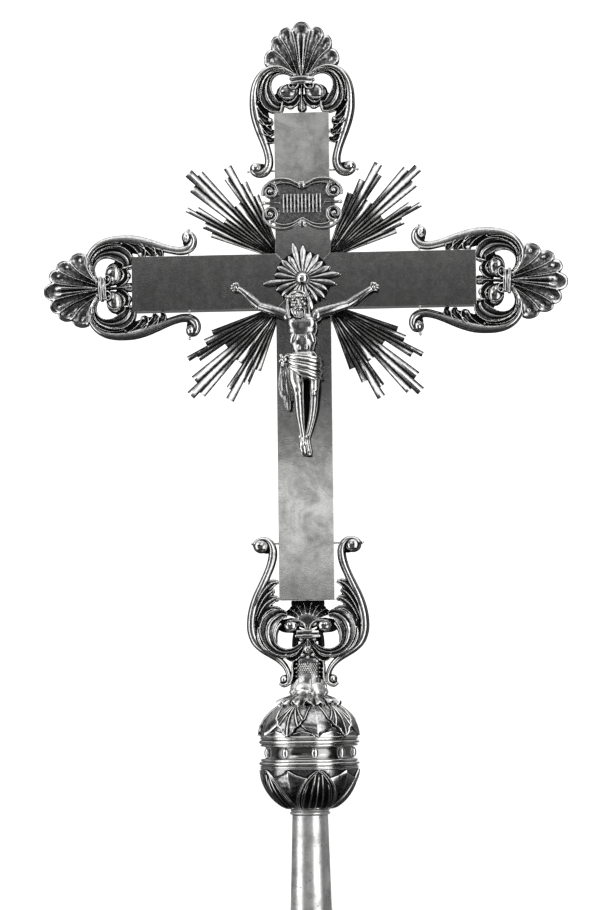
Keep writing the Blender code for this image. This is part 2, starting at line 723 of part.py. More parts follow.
def calyx():
    """Ruffled leaf collar over the top of the knop. It stands just clear of the bowl."""
    heights = []
    for radius in (26.7, 22.0, 18.5, 15.9):
        rise = UPPER_BOWL_SEMIAXIS * (1 - (radius * MM / KNOP_RADIUS) ** 2) ** 0.5
        heights.append((radius * MM, UPPER_BOWL_BOTTOM + rise + 0.8 * MM))
    outer = [(radius + 0.5 * MM, height + 1.8 * MM) for radius, height in heights[:-1]]
    outer.append((heights[-1][0], 186 * MM))
    return turned(outer + heights[::-1])


def socket():
    outer = [(SOCKET_TOP_RADIUS, SOCKET_HEIGHT), (SOCKET_MOUTH_RADIUS, 0)]
    inner = [(radius - SOCKET_WALL, height) for radius, height in outer]
    return turned(outer + inner[::-1])


def collar():
    """Bead between the knop and the socket, with a plug that enters the socket."""
    bead = 17.4 * MM
    plug = SOCKET_TOP_RADIUS - SOCKET_WALL - GAP
    seat = SOCKET_HEIGHT + GAP
    profile = [
        (bead - 1.2 * MM, COLLAR_TOP),
        (bead, COLLAR_TOP - 1.6 * MM),
        (bead, seat + 1.4 * MM),
        (bead - 1.2 * MM, seat),
        (plug, seat),
        (plug, NUT_TOP + GAP),
        (ROD_HOLE_RADIUS, NUT_TOP + GAP),
        (ROD_HOLE_RADIUS, COLLAR_TOP),
    ]
    return turned(profile)


def nut():
    """Hexagon nut at the lower end of the rod, inside the socket."""
    block = rod_between((0, 0, NUT_TOP - NUT_HEIGHT), (0, 0, NUT_TOP), NUT_RADIUS, segments=6)
    return cut(block, rod_between((0, 0, 0), (0, 0, COLLAR_TOP), ROD_HOLE_RADIUS, segments=16))


def make_knop():
    keep(socket(), "staff_socket", "silver_turned")
    keep(collar(), "socket_collar", "silver_turned")
    lower_bowl = bowl(LOWER_BOWL_TOP - GAP, LOWER_BOWL_SEMIAXIS, COLLAR_TOP + GAP)
    upper_bowl = bowl(UPPER_BOWL_BOTTOM + GAP, UPPER_BOWL_SEMIAXIS, FOOT_BOTTOM - GAP)
    keep(lower_bowl, "knop_lower_bowl", "silver_cast")
    keep(ring_moulding(LOWER_BOWL_TOP, DRUM_BOTTOM, True), "knop_lower_ring", "silver_turned")
    keep(drum(), "knop_drum", "silver_turned")
    keep(ring_moulding(DRUM_TOP, UPPER_BOWL_BOTTOM, False), "knop_upper_ring", "silver_turned")
    keep(upper_bowl, "knop_upper_bowl", "silver_cast")
    keep(calyx(), "knop_calyx", "silver_cast")
    rod_bottom, rod_top = NUT_TOP - NUT_HEIGHT - 2 * MM, FOOT_TOP + 10 * MM
    keep(rod_between((0, 0, rod_bottom), (0, 0, rod_top), ROD_RADIUS, segments=16), "tie_rod", "steel")
    keep(nut(), "tie_rod_nut", "steel")


# ---------------------------------------------------------------- assembly


def main():
    clear_scene()
    make_collection("processional_cross")
    make_collection("cutters")
    for name in MATERIALS:
        make_material(name)
    pin_holes = make_pin_cutters()
    shank_hole = NAIL_RADIUS + GAP
    nails = [
        ("nail_left_hand", HAND_LEFT),
        ("nail_right_hand", HAND_RIGHT),
        ("nail_feet", FEET_NAIL),
    ]
    nail_holes = [hole_cutter(f"{name}_cutter", place.x, place.z, shank_hole) for name, place in nails]
    boss_hole = hole_cutter("nimbus_boss_cutter", 0, NIMBUS_Z, BOSS_HOLE)
    title_holes = [
        hole_cutter(f"title_cutter_{label}", 0, TITLE_Z + reach, shank_hole)
        for label, reach in (("top", TITLE_RIVET_REACH), ("bottom", -TITLE_RIVET_REACH))
    ]
    make_cross([*pin_holes.values(), *nail_holes, boss_hole, *title_holes])
    make_ends(pin_holes)
    make_ray_fans()
    make_title(title_holes)
    make_nimbus(boss_hole)
    make_corpus(nail_holes)
    for name, place in nails:
        front = place.y - 4.6 * MM if name != "nail_feet" else place.y - 4.4 * MM
        make_rivet(name, place.x, place.z, front, NAIL_HEAD_RADIUS, NAIL_RADIUS, "silver_turned")
    boss_front = FRONT_Y - NIMBUS_STANDOFF - NIMBUS_THICKNESS / 2 - GAP
    make_rivet("nimbus_boss", 0, NIMBUS_Z, boss_front, 5 * MM, BOSS_SHANK, "silver_turned")
    rivet_front = FRONT_Y - 2 * GAP - TITLE_THICKNESS
    for label, reach in (("top", TITLE_RIVET_REACH), ("bottom", -TITLE_RIVET_REACH)):
        name, height = f"title_rivet_{label}", TITLE_Z + reach
        make_rivet(name, 0, height, rivet_front, 2.6 * MM, NAIL_RADIUS, "silver_turned")
    make_knop()


main()
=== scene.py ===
"""Looks of the processional cross: silver castings, satin sheet, turned knop and a cast corpus.

Lengths are in millimetres, or for some castings in pixels of the photo (PIXEL), and angles in degrees, up
to the moment a mesh is made. Every casting is built as overlapping forms (ribbons, balls, limbs), melted
into one skin and given a patina attribute, which runs from 0 on its high parts to 1 in its hollows. The
same attribute carries painted shade too: it is raised to full on the deep middle layer of the castings,
on the backs of the figure and towards the foot of the lower knop bowl.
"""

import json
import math

import bmesh
import bpy
import numpy as np
from mathutils import Matrix, Vector

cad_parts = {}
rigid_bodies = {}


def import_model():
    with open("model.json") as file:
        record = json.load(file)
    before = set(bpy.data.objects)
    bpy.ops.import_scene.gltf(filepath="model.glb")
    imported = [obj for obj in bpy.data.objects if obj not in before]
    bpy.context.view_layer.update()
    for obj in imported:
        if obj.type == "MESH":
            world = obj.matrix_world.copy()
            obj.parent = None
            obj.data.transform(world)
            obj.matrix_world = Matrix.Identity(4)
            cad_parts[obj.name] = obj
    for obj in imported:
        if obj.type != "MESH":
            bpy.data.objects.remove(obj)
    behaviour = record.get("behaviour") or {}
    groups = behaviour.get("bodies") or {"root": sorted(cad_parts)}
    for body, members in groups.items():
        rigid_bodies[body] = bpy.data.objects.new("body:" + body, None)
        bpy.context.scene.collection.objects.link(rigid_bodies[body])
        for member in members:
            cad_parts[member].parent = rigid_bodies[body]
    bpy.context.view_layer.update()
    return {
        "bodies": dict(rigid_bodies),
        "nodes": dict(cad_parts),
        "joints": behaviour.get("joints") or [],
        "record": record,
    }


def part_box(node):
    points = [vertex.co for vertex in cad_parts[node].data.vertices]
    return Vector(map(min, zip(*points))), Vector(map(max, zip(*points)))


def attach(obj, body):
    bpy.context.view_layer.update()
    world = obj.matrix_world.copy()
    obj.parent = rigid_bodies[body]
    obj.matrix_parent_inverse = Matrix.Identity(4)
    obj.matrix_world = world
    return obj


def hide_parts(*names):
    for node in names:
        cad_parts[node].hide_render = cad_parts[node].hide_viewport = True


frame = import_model()

MM = 0.001
# Millimetres to a pixel of the photo. The rows of the cast ends, the title board and the nimbus are offsets
# in these pixels, read off enlarged parts of the photo. They still have to be put into millimetres.
PIXEL = 0.86
PHOTO_HEIGHT = 910  # pixels
BODY = "root"


def corners(node):
    """The lowest and the highest corner of a CAD piece."""
    return [np.array(corner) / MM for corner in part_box(node)]


def centre(node):
    low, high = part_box(node)
    return (np.array(low) + np.array(high)) / 2 / MM


def heights(node):
    return [corner[2] for corner in corners(node)]


# Places of the cross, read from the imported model.
CROSSING = centre("sheath_left")[2]
HALF = float(np.ptp(heights("sheath_left"))) / 2
TOP_END = heights("sheath_top")[1]
SIDE_END = corners("sheath_right")[1][0]
LOWER_END = heights("sheath_lower")[0]


def turned(angle, axis):
    return Matrix.Rotation(math.radians(angle), 4, axis)


def shifted(x, y, z):
    """A move in millimetres, for a mesh that is already in metres."""
    return Matrix.Translation((x * MM, y * MM, z * MM))


# ---------------------------------------------------------------- forms
# A form is (points, faces): an array of places in millimetres and a list of corner lists.


def spline(rows, count):
    """Smooth curve through the rows, with every column (place and sizes) running smoothly."""
    rows = np.array(rows, float)
    if len(rows) == 2:
        return rows[0] + np.linspace(0, 1, count)[:, None] * (rows[1] - rows[0])
    steps = np.linalg.norm(np.diff(rows[:, :3], axis=0), axis=1) ** 0.8 + 1e-6
    at = np.concatenate([[0], np.cumsum(steps)])
    slopes = np.diff(rows, axis=0) / steps[:, None]
    tangents = np.empty_like(rows)
    tangents[0], tangents[-1] = slopes[0], slopes[-1]
    share = (steps[:-1] / (steps[:-1] + steps[1:]))[:, None]
    tangents[1:-1] = slopes[:-1] * (1 - share) + slopes[1:] * share
    where = np.linspace(0, at[-1], count)
    i = np.clip(np.searchsorted(at, where, side="right") - 1, 0, len(steps) - 1)
    h = steps[i][:, None]
    t = ((where - at[i]) / steps[i])[:, None]
    return (
        rows[i] * (2 * t**3 - 3 * t**2 + 1)
        + tangents[i] * h * (t**3 - 2 * t**2 + t)
        + rows[i + 1] * (3 * t**2 - 2 * t**3)
        + tangents[i + 1] * h * (t**3 - t**2)
    )


def tube_faces(rings, around):
    """Quads between successive rings of points, and a face over each end."""
    faces = []
    for i in range(rings - 1):
        for j in range(around):
            k = (j + 1) % around
            faces.append((i * around + j, i * around + k, (i + 1) * around + k, (i + 1) * around + j))
    faces.append(tuple(range(around))[::-1])
    faces.append(tuple((rings - 1) * around + j for j in range(around)))
    return faces


# A section says how far a ribbon's face rises at t, which runs from -1 at one edge to 1 at the other.


def rounded(t):
    return np.sqrt(np.clip(1 - 0.96 * t * t, 0.04, 1))


def fluted(count, depth=0.34):
    """Hollow flutes side by side, with a sharp ridge between two of them."""

    def section(t):
        hollow = np.abs(np.sin(np.pi * count * (t + 1) / 2))
        return np.clip(
            (1 - 0.55 * t**4) * (1 - depth * hollow), 0.1, 1,
        ) * np.clip((1.04 - np.abs(t)) * 6, 0.15, 1)

    return section


def rimmed(dish=0.45, ribs=0):
    """A shallow trough between two thin rims, with faint ribs along it."""

    def section(t):
        inside = np.clip(np.abs(t) / 0.86, 0, 1)
        trough = 1 - dish * (1 - inside**3.2)
        lines = 0.07 * (1 - inside**2) * np.cos(np.pi * (ribs + 1) * t) if ribs else 0
        return (trough + lines) * np.sqrt(np.clip((1.02 - np.abs(t)) / 0.16, 0.06, 1))

    return section


def keeled(t):
    """Two flanks that meet in a sharp keel."""
    return 0.25 + 0.75 * (1 - np.abs(t)) ** 0.8


def ribbon(rows, section=rounded, across=15, step=0.9, unit=PIXEL):
    """A flat strip in X and Z that follows the rows (x, z, half width, half depth, y): a raised section
    on its front and its back."""
    rows = [tuple(row) + (0,) * (5 - len(row)) for row in rows]
    rows = np.array(rows, float) * np.array([unit, unit, unit, 1, 1])
    length = np.linalg.norm(np.diff(rows[:, :2], axis=0), axis=1).sum()
    flat = spline(
        np.column_stack([rows[:, 0], rows[:, 1], rows[:, 4], rows[:, 2:4]]), max(8, int(length / step)),
    )
    place, y, half, depth = flat[:, :2], flat[:, 2], np.clip(
        flat[:, 3], 0.15, None,
    ), np.clip(flat[:, 4], 0.2, None)
    along = np.gradient(place, axis=0)
    along /= np.linalg.norm(along, axis=1)[:, None] + 1e-9
    side = np.column_stack([-along[:, 1], along[:, 0]])
    t = np.sin(np.linspace(-np.pi / 2, np.pi / 2, across))
    rise = section(t)
    t, rise = np.concatenate([t, t[::-1]]), np.concatenate([rise, rise[::-1]])
    sign = np.repeat([-1.0, 1.0], across)
    flat_places = place[:, None] + side[:, None] * (half[:, None] * t)[:, :, None]
    depths = y[:, None] + depth[:, None] * (rise * sign)
    points = np.dstack([flat_places[:, :, 0], depths, flat_places[:, :, 1]]).reshape(-1, 3)
    return points, tube_faces(len(flat), 2 * across)


def limb(rows, around=14, step=0.9, flat=1.0):
    """A round bar in space that follows the rows (x, y, z, radius)."""
    rows = np.array(rows, float)
    length = np.linalg.norm(np.diff(rows[:, :3], axis=0), axis=1).sum()
    curve = spline(rows, max(6, int(length / step)))
    place, radius = curve[:, :3], np.clip(curve[:, 3], 0.15, None)
    along = np.gradient(place, axis=0)
    along /= np.linalg.norm(along, axis=1)[:, None] + 1e-9
    side = np.cross(along, [0.02, 1.0, 0.01])
    side /= np.linalg.norm(side, axis=1)[:, None] + 1e-9
    other = np.cross(side, along)
    angle = np.linspace(0, 2 * np.pi, around, endpoint=False)
    ring = side[:, None] * np.cos(angle)[None, :, None] + other[:, None] * np.sin(angle)[None, :, None] * flat
    points = (place[:, None] + ring * radius[:, None, None]).reshape(-1, 3)
    return points, tube_faces(len(curve), around)


def ball(x, y, z, rx, ry=None, rz=None, turn=(0, 0, 0), around=18, rings=11):
    """An ellipsoid, turned by degrees about X, Y and Z."""
    ry, rz = ry or rx, rz or rx
    u = np.linspace(0, 2 * np.pi, around, endpoint=False)
    v = np.linspace(-np.pi / 2, np.pi / 2, rings)
    v[0], v[-1] = v[0] + 0.02, v[-1] - 0.02
    places = np.array([(
        math.cos(b) * math.cos(a), math.cos(b) * math.sin(a), math.sin(b),
    ) for b in v for a in u])
    places = places * [rx, ry, rz]
    rotation = Matrix.Identity(3)
    for axis, angle in zip("XYZ", turn):
        rotation = Matrix.Rotation(math.radians(angle), 3, axis) @ rotation
    return places @ np.array(rotation).T + [x, y, z], tube_faces(rings, around)


def flat_ball(u, v, ru, rv, depth, y=0, turn=0):
    """A ball placed and sized in pixels of the photo, with its depth and its y in millimetres."""
    fine = 18 + 2 * int(ru + depth)
    return ball(u * PIXEL, y, v * PIXEL, ru * PIXEL, depth, rv * PIXEL, (0, -turn, 0), fine, fine // 2 + 3)


def flat_balls(rows):
    return [flat_ball(*row) for row in rows]


def mirrored(forms):
    """The forms and their mirror images across X = 0."""
    return forms + [(points * [-1, 1, 1], [face[::-1] for face in faces]) for points, faces in forms]


def moved(form, matrix):
    points, faces = form
    turn = np.array(matrix.to_3x3())
    if np.linalg.det(turn) < 0:
        faces = [face[::-1] for face in faces]
    return points @ turn.T + np.array(matrix.translation), faces


def joined(forms):
    points, faces, base = [], [], 0
    for more_points, more_faces in forms:
        points.append(more_points)
        faces += [tuple(base + i for i in face) for face in more_faces]
        base += len(more_points)
    return np.concatenate(points), faces


# ---------------------------------------------------------------- meshes


def mesh_of(form, name):
    mesh = bpy.data.meshes.new(name)
    points, faces = form
    mesh.from_pydata((points * MM).tolist(), [], faces)
    mesh.update()
    return mesh


def vectors_of(mesh, kind):
    """The places (kind "co") or the directions (kind "normal") of all points."""
    values = np.empty(len(mesh.vertices) * 3)
    mesh.vertices.foreach_get(kind, values)
    return values.reshape(-1, 3)


def edges_of(mesh):
    edges = np.empty(len(mesh.edges) * 2, int)
    mesh.edges.foreach_get("vertices", edges)
    return edges.reshape(-1, 2)


def relaxed(points, edges, rounds, share=0.5):
    """Moves every point towards the middle of its neighbours."""
    both = np.concatenate([edges, edges[:, ::-1]])
    count = np.bincount(both[:, 0], minlength=len(points))[:, None] + 1e-9
    for _ in range(rounds):
        middle = [np.bincount(both[:, 0], points[both[:, 1], axis], len(points)) for axis in range(3)]
        points = points + share * (np.column_stack(middle) / count - points)
    return points


def patina_and_shade_of(mesh):
    value = np.empty(len(mesh.vertices), np.float32)
    mesh.attributes["patina_and_shade"].data.foreach_get("value", value)
    return value


def set_patina_and_shade(mesh, value):
    patina_and_shade = mesh.attributes.get("patina_and_shade") or mesh.attributes.new("patina_and_shade", "FLOAT", "POINT")
    patina_and_shade.data.foreach_set("value", np.array(value, np.float32))


def add_patina(mesh, reach=10, depth=0.28):
    """Sets the patina by how deep each point lies below the surface round it: 0 on a ridge, 1 in a hollow.
    The reach is the width looked at, in points, and the depth is what turns a hollow black."""
    points, normals, edges = vectors_of(mesh, "co"), vectors_of(mesh, "normal"), edges_of(mesh)
    below = np.zeros(len(points))
    smooth = points
    for rounds in (reach, reach * 3):
        smooth = relaxed(smooth, edges, rounds)
        below += ((smooth - points) * normals).sum(axis=1) / MM / depth * 0.5
    set_patina_and_shade(mesh, np.clip(0.5 + 0.5 * below, 0, 1))


def blacken(mesh, clean_and_unshaded, black):
    """Paints shade into the patina attribute: raises it from nothing at one distance from the middle plane
    (or at one Y, where that is negative) to full at the other, so that what lies deep goes dark as in shade."""
    y = vectors_of(mesh, "co")[:, 1] / MM
    y = np.abs(y) if clean_and_unshaded > 0 else y
    share = np.clip((y - clean_and_unshaded) / (black - clean_and_unshaded), 0, 1)
    set_patina_and_shade(mesh, np.maximum(patina_and_shade_of(mesh), share))
    return mesh


def tarnish_and_shade(mesh, low, high, most):
    """Adds painted shade that grows evenly from the high level down to the low one, so the part lower down
    goes darker.
    """
    share = np.clip((high - vectors_of(mesh, "co")[:, 2] / MM) / (high - low), 0, 1)
    set_patina_and_shade(mesh, np.minimum(patina_and_shade_of(mesh) + most * share, 1))


def blacken_back(mesh, level):
    """Paints shade, through the patina attribute, on everything that faces the cross behind it, and on
    whatever lies beyond that Y, near the plate.
    """
    blacken(mesh, level, level + 3)
    share = np.clip((vectors_of(mesh, "normal")[:, 1] + 0.12) / 0.3, 0, 1)
    set_patina_and_shade(mesh, np.maximum(patina_and_shade_of(mesh), share))
    return mesh


def melted(forms, voxel, name, smooth=2, patina_and_shade=(10, 0.28)):
    """One closed skin over all the forms, with its patina (reach, depth)."""
    obj = bpy.data.objects.new(name, mesh_of(joined(forms), name))
    bpy.context.scene.collection.objects.link(obj)
    remesh = obj.modifiers.new("skin", "REMESH")
    remesh.mode = "VOXEL"
    remesh.voxel_size = voxel * MM
    bpy.context.view_layer.update()
    mesh = bpy.data.meshes.new_from_object(obj.evaluated_get(bpy.context.evaluated_depsgraph_get()))
    bpy.data.objects.remove(obj)
    mesh.vertices.foreach_set("co", relaxed(vectors_of(mesh, "co"), edges_of(mesh), smooth, 0.4).ravel())
    mesh.update()
    add_patina(mesh, *patina_and_shade)
    mesh.name = name
    return mesh


def merged(meshes, name):
    """One mesh out of several, each with its patina."""
    tool = bmesh.new()
    for mesh in meshes:
        tool.from_mesh(mesh)
    mesh = bpy.data.meshes.new(name)
    tool.to_mesh(mesh)
    tool.free()
    return mesh


def placed(mesh, name, material, matrix=None, replaces=()):
    """A piece made from a mesh, which stands for CAD nodes."""
    mesh = mesh.copy()
    if matrix is not None:
        mesh.transform(matrix)
        if matrix.determinant() < 0:
            mesh.flip_normals()
    mesh.name = name
    mesh.shade_smooth()
    mesh.materials.clear()
    mesh.materials.append(material)
    piece = bpy.data.objects.new(name, mesh)
    bpy.context.scene.collection.objects.link(piece)
    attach(piece, BODY)
    if replaces:
        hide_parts(*replaces)
    return piece


def cast(mesh, node, matrix=None, kind="cast", ending="_cast"):
    """A piece that stands for one CAD node."""
    return placed(mesh, node + ending, material[kind], matrix, (node,))


# ---------------------------------------------------------------- materials


def grey(level):
    return (level, level, level)


def silver(level):
    """A hair warmer than grey."""
    return (level, level, level * 0.99)


class NodeTree:
    """A short way to add nodes."""

    def __init__(self, tree):
        self.tree = tree

    def add(self, kind, inputs=(), **settings):
        node = self.tree.nodes.new("ShaderNode" + kind)
        for key, value in settings.items():
            setattr(node, key, value)
        for key, value in dict(inputs).items():
            self.feed(node.inputs[key], value)
        return node

    def feed(self, socket, value):
        if isinstance(value, bpy.types.NodeSocket):
            self.tree.links.new(value, socket)
        else:
            socket.default_value = value


class Nodes(NodeTree):
    """A new material, and the steps that its colour, roughness and bumps are made of."""

    def __init__(self, name):
        self.material = bpy.data.materials.new(name)
        self.material.use_nodes = True
        super().__init__(self.material.node_tree)
        self.shader = self.tree.nodes["Principled BSDF"]
        self.place = self.add("TexCoord").outputs["Object"]

    def noise(self, scale, detail=4, roughness=0.55, stretch=None, distortion=0.0):
        vector = self.place
        if stretch:
            vector = self.add("Mapping", {"Vector": vector, "Scale": stretch}).outputs[0]
        made = {
            "Vector": vector, "Scale": scale, "Detail": detail, "Roughness": roughness,
            "Distortion": distortion,
        }
        return self.add("TexNoise", made).outputs["Fac"]

    def ramp(self, value, low, high, to_low=0.0, to_high=1.0):
        made = {"Value": value, "From Min": low, "From Max": high, "To Min": to_low, "To Max": to_high}
        return self.add("MapRange", made, interpolation_type="SMOOTHSTEP").outputs[0]

    def math(self, operation, a, b):
        return self.add("Math", {0: a, 1: b}, operation=operation).outputs[0]

    def mix(self, share, a, b):
        node = self.add("Mix", {"Factor": share}, data_type="RGBA")
        for socket, value in zip([s for s in node.inputs if s.type == "RGBA"], (a, b)):
            self.feed(socket, value if isinstance(value, bpy.types.NodeSocket) else (*value, 1))
        return [s for s in node.outputs if s.type == "RGBA"][0]

    def bump(self, height, strength, distance):
        node = self.add("Bump", {"Height": height, "Strength": strength, "Distance": distance})
        return node.outputs[0]

    def finish(self, colour, roughness, normal=None, metallic=1.0):
        self.shader.inputs["Metallic"].default_value = metallic
        self.feed(self.shader.inputs["Base Color"], colour)
        self.feed(self.shader.inputs["Roughness"], roughness)
        if normal is not None:
            self.feed(self.shader.inputs["Normal"], normal)
        return self.material


def cast_silver(name, bright=0.90, flank=0.42, dark=0.015, low=0.36, high=0.70, polish=0.15):
    """Silver plate that is bright on its high parts, duller on its flanks, where the patina and painted shade
    reach low, and black where they reach high. The polish is its roughness."""
    nodes = Nodes(name)
    # The attribute holds the patina of the hollows, with painted shade added to it.
    hollow = nodes.add("Attribute", attribute_name="patina_and_shade").outputs["Fac"]
    blotch = nodes.noise(420, 5, 0.6)
    worn = nodes.math("ADD", hollow, nodes.ramp(blotch, 0.3, 0.7, -0.08, 0.08))
    bloom = nodes.ramp(worn, low - 0.18, low + 0.14)
    mask = nodes.ramp(worn, low + 0.06, high)
    tarnish_and_shade = nodes.ramp(nodes.noise(70, 5), 0.35, 0.7)
    clean_and_unshaded = nodes.mix(tarnish_and_shade, silver(bright), (bright * 0.85, bright * 0.85, bright * 0.84))
    colour = nodes.mix(mask, nodes.mix(bloom, clean_and_unshaded, grey(flank)), grey(dark))
    scratch = nodes.noise(900, 3, 0.6, (1, 1, 0.16))
    scratched = nodes.ramp(scratch, 0.3, 0.7, polish - 0.05, polish + 0.06)
    roughness = nodes.math("ADD", scratched, nodes.math("MULTIPLY", mask, 0.3))
    grain = nodes.math("ADD", nodes.noise(1500, 3), nodes.math("MULTIPLY", nodes.noise(300, 3), 2.0))
    return nodes.finish(colour, roughness, nodes.bump(grain, 0.25, 0.00006))


def sheet_silver(name):
    """Planished sheet: a soft polish over faint waves, cloudy tarnish and wiping marks."""
    nodes = Nodes(name)
    cloud = nodes.noise(38, 6, 0.66, distortion=0.7)
    fine = nodes.noise(260, 5, 0.62)
    wipe = nodes.noise(150, 4, 0.6, (1, 1, 0.4))
    share = nodes.ramp(nodes.math("ADD", cloud, nodes.math("MULTIPLY", fine, 0.4)), 0.52, 0.92)
    colour = nodes.mix(share, (0.96, 0.96, 0.95), (0.56, 0.56, 0.55))
    speck = nodes.ramp(nodes.noise(700, 2, 0.5), 0.64, 0.72)
    colour = nodes.mix(nodes.math("MULTIPLY", speck, 0.5), colour, grey(0.22))
    wiped = nodes.ramp(wipe, 0.3, 0.7, -0.006, 0.006)
    roughness = nodes.math("ADD", nodes.ramp(cloud, 0.3, 0.75, 0.08, 0.11), wiped)
    wave, grain = nodes.math(
        "MULTIPLY", nodes.noise(26, 2, 0.4), 1.4,
    ), nodes.math("MULTIPLY", nodes.noise(800, 3), 0.5)
    return nodes.finish(colour, roughness, nodes.bump(nodes.math("ADD", wave, grain), 0.3, 0.00006))


def turned_silver(name, spots=0.35, shade=1.0, polish=0.13, metallic=1.0, stain=0.77):
    """Silver off the lathe: fine rings round the axis, and small dark spots of tarnish. The stain is how
    bright its cloudy parts stay."""
    nodes = Nodes(name)
    hollow = nodes.ramp(nodes.add("Attribute", attribute_name="patina_and_shade").outputs["Fac"], 0.62, 0.9)
    cloud = nodes.ramp(nodes.noise(55, 6, 0.65), 0.35, 0.75)
    colour = nodes.mix(cloud, silver(0.86 * shade), silver(0.86 * shade * stain))
    speck = nodes.ramp(nodes.noise(620, 2, 0.5), 0.60, 0.70)
    patch = nodes.ramp(nodes.noise(120, 3, 0.6), 0.45, 0.65)
    spotted = nodes.math("MULTIPLY", nodes.math("MULTIPLY", speck, patch), spots)
    colour = nodes.mix(hollow, nodes.mix(spotted, colour, grey(0.10)), grey(0.03))
    rings = nodes.noise(420, 3, 0.6, (0.05, 0.05, 1))
    ringed = nodes.ramp(rings, 0.3, 0.7, -0.03, 0.05)
    roughness = nodes.math("ADD", nodes.ramp(cloud, 0, 1, polish, polish + 0.09), ringed)
    return nodes.finish(colour, roughness, nodes.bump(rings, 0.25, 0.00008), metallic)


def oiled_wood(name):
    nodes = Nodes(name)
    grain = nodes.noise(90, 6, 0.6, (1, 1, 0.06), 0.8)
    colour = nodes.mix(nodes.ramp(grain, 0.3, 0.7), (0.20, 0.11, 0.06), (0.09, 0.05, 0.03))
    return nodes.finish(colour, nodes.ramp(grain, 0.3, 0.7, 0.45, 0.6), nodes.bump(grain, 0.3, 0.0002), 0.0)


def plain_steel(name):
    nodes = Nodes(name)
    cloud = nodes.noise(200, 5)
    colour = nodes.mix(nodes.ramp(cloud, 0.3, 0.7), (0.36, 0.36, 0.37), (0.22, 0.21, 0.20))
    return nodes.finish(colour, nodes.ramp(cloud, 0.3, 0.7, 0.3, 0.5), nodes.bump(cloud, 0.2, 0.0001))


material = {
    "cast": cast_silver("silver_cast"),
    "figure": cast_silver(
        "silver_figure", bright=0.92, flank=0.5, dark=0.02, low=0.42, high=0.76, polish=0.2,
    ),
    "rays": cast_silver("silver_rays", bright=0.88, flank=0.34, high=0.86, polish=0.17),
    "polished": cast_silver(
        "silver_polished", bright=0.92, flank=0.8, dark=0.08, low=0.7, high=0.98, polish=0.08,
    ),
    "sheet": sheet_silver("silver_sheet"),
    "turned": turned_silver("silver_turned"),
    "tube": turned_silver("silver_tube", spots=1, shade=1.16, polish=0.31, metallic=0.88, stain=0.42),
    "drum": turned_silver("silver_drum", spots=0.6, shade=0.42),
    "wood": oiled_wood("core_wood"),
    "steel": plain_steel("steel"),
}


# ---------------------------------------------------------------- cast ends
# They have the arm's end at Z = 0 and +Z pointing away from it. A row of a ribbon is (x, z, half width,
# half depth, y): the first three in pixels of the photo, the depth and y in millimetres.

SCROLL_STEM = [
    (52.0, -53.0, 1.8, 3.0), (50.0, -57.2, 3.2, 4.4), (44.8, -59.6, 4.0, 5.0), (39.2, -58.4, 4.4, 5.2),
    (35.2, -53.6, 4.4, 5.0), (34.0, -46.6, 4.3, 4.8), (35.6, -37.4, 4.1, 4.7), (38.6, -27.6, 4.4, 4.8),
    (42.2, -17.0, 5.0, 5.0), (45.6, -6.0, 5.3, 5.2), (47.8, 4.0, 5.2, 5.3), (48.6, 14.0, 4.7, 5.4),
    (48.2, 24.0, 4.3, 5.4), (45.8, 33.0, 4.1, 5.3), (41.2, 40.6, 3.7, 5.2), (35.4, 45.6, 3.2, 5.0),
    (
        28.4, 48.2, 2.6, 4.8,
    ), (20.6, 47.6, 2.3, 4.7), (13.6, 44.4, 2.0, 4.6), (8.6, 40.8, 1.8, 4.4), (6.2, 37.6, 1.5, 3.8),
]
SCROLL_BAND = [
    (9.5, 40.2, 0.8, 4.4), (16.0, 43.9, 1.3, 5.2), (24.0, 44.9, 1.8, 5.7), (31.6, 43.2, 2.2, 6.0),
    (37.8, 38.0, 2.5, 6.2), (41.4, 30.0, 2.6, 6.2), (42.4, 21.0, 2.4, 6.0), (41.8, 13.6, 1.5, 5.4),
]
SCROLL_CRESCENT = [
    (9.6, 38.6, 0.8, 4.2), (14.4, 42.0, 1.5, 5.0), (21.5, 43.6, 2.0, 5.5), (28.4, 41.6, 2.8, 6.0),
    (33.2, 37.0, 3.7, 6.4), (35.8, 30.6, 4.9, 6.7), (36.2, 22.6, 6.8, 6.9), (34.0, 15.0, 8.4, 7.0),
    (29.6, 9.4, 7.9, 6.8), (24.8, 7.2, 6.4, 6.4), (20.6, 7.4, 5.2, 6.0),
]
SCROLL_LEAVES = [
    [
        (47.4, 13, 1.0, 4.0), (45.2, 3.0, 3.6, 5.2), (41.2, -3.4, 4.6, 5.6), (36.4, -7.0, 4.8, 5.6),
        (32.4, -8.0, 3.4, 5.0), (30.6, -5.6, 1.6, 4.2),
    ],
    [
        (46.6, 2, 1.0, 3.8), (43.6, -8.0, 4.0, 5.0), (39.0, -14.6, 4.8, 5.2), (34.0, -18.0, 4.2, 4.8),
        (30.2, -18.2, 2.6, 4.2), (29.2, -15.2, 1.2, 3.6),
    ],
    [
        (44.6, -8, 1.0, 3.8), (41.4, -17.2, 3.8, 4.8), (36.8, -23.0, 4.2, 4.8), (32.2, -26.0, 3.4, 4.4),
        (29.0, -26.0, 2.2, 3.8), (28.4, -23.4, 1.0, 3.2),
    ],
]
# Volute eye and its pupil, the bead on the stem, the ball of the first leaf, and a thin web inside the
# volute that blacken paints black as shade.
SCROLL_BALLS = [
    (47.2, -53.6, 6.4, 5.4, 6.4), (46.0, -53.0, 2.6, 2.2, 7.2), (44.2, 12.4, 1.7, 1.7, 6.8),
    (32.4, -6.0, 2.9, 3.3, 6.2), (42.6, -54.0, 6.0, 5.0, 2.0),
]
SCROLL_TIP = [(19.4, 12.8, 0.9, 5.6), (19.8, 8.4, 1.9, 7.4), (20.6, 4.6, 1.8, 7.2), (22.2, 1.8, 0.9, 5.4)]
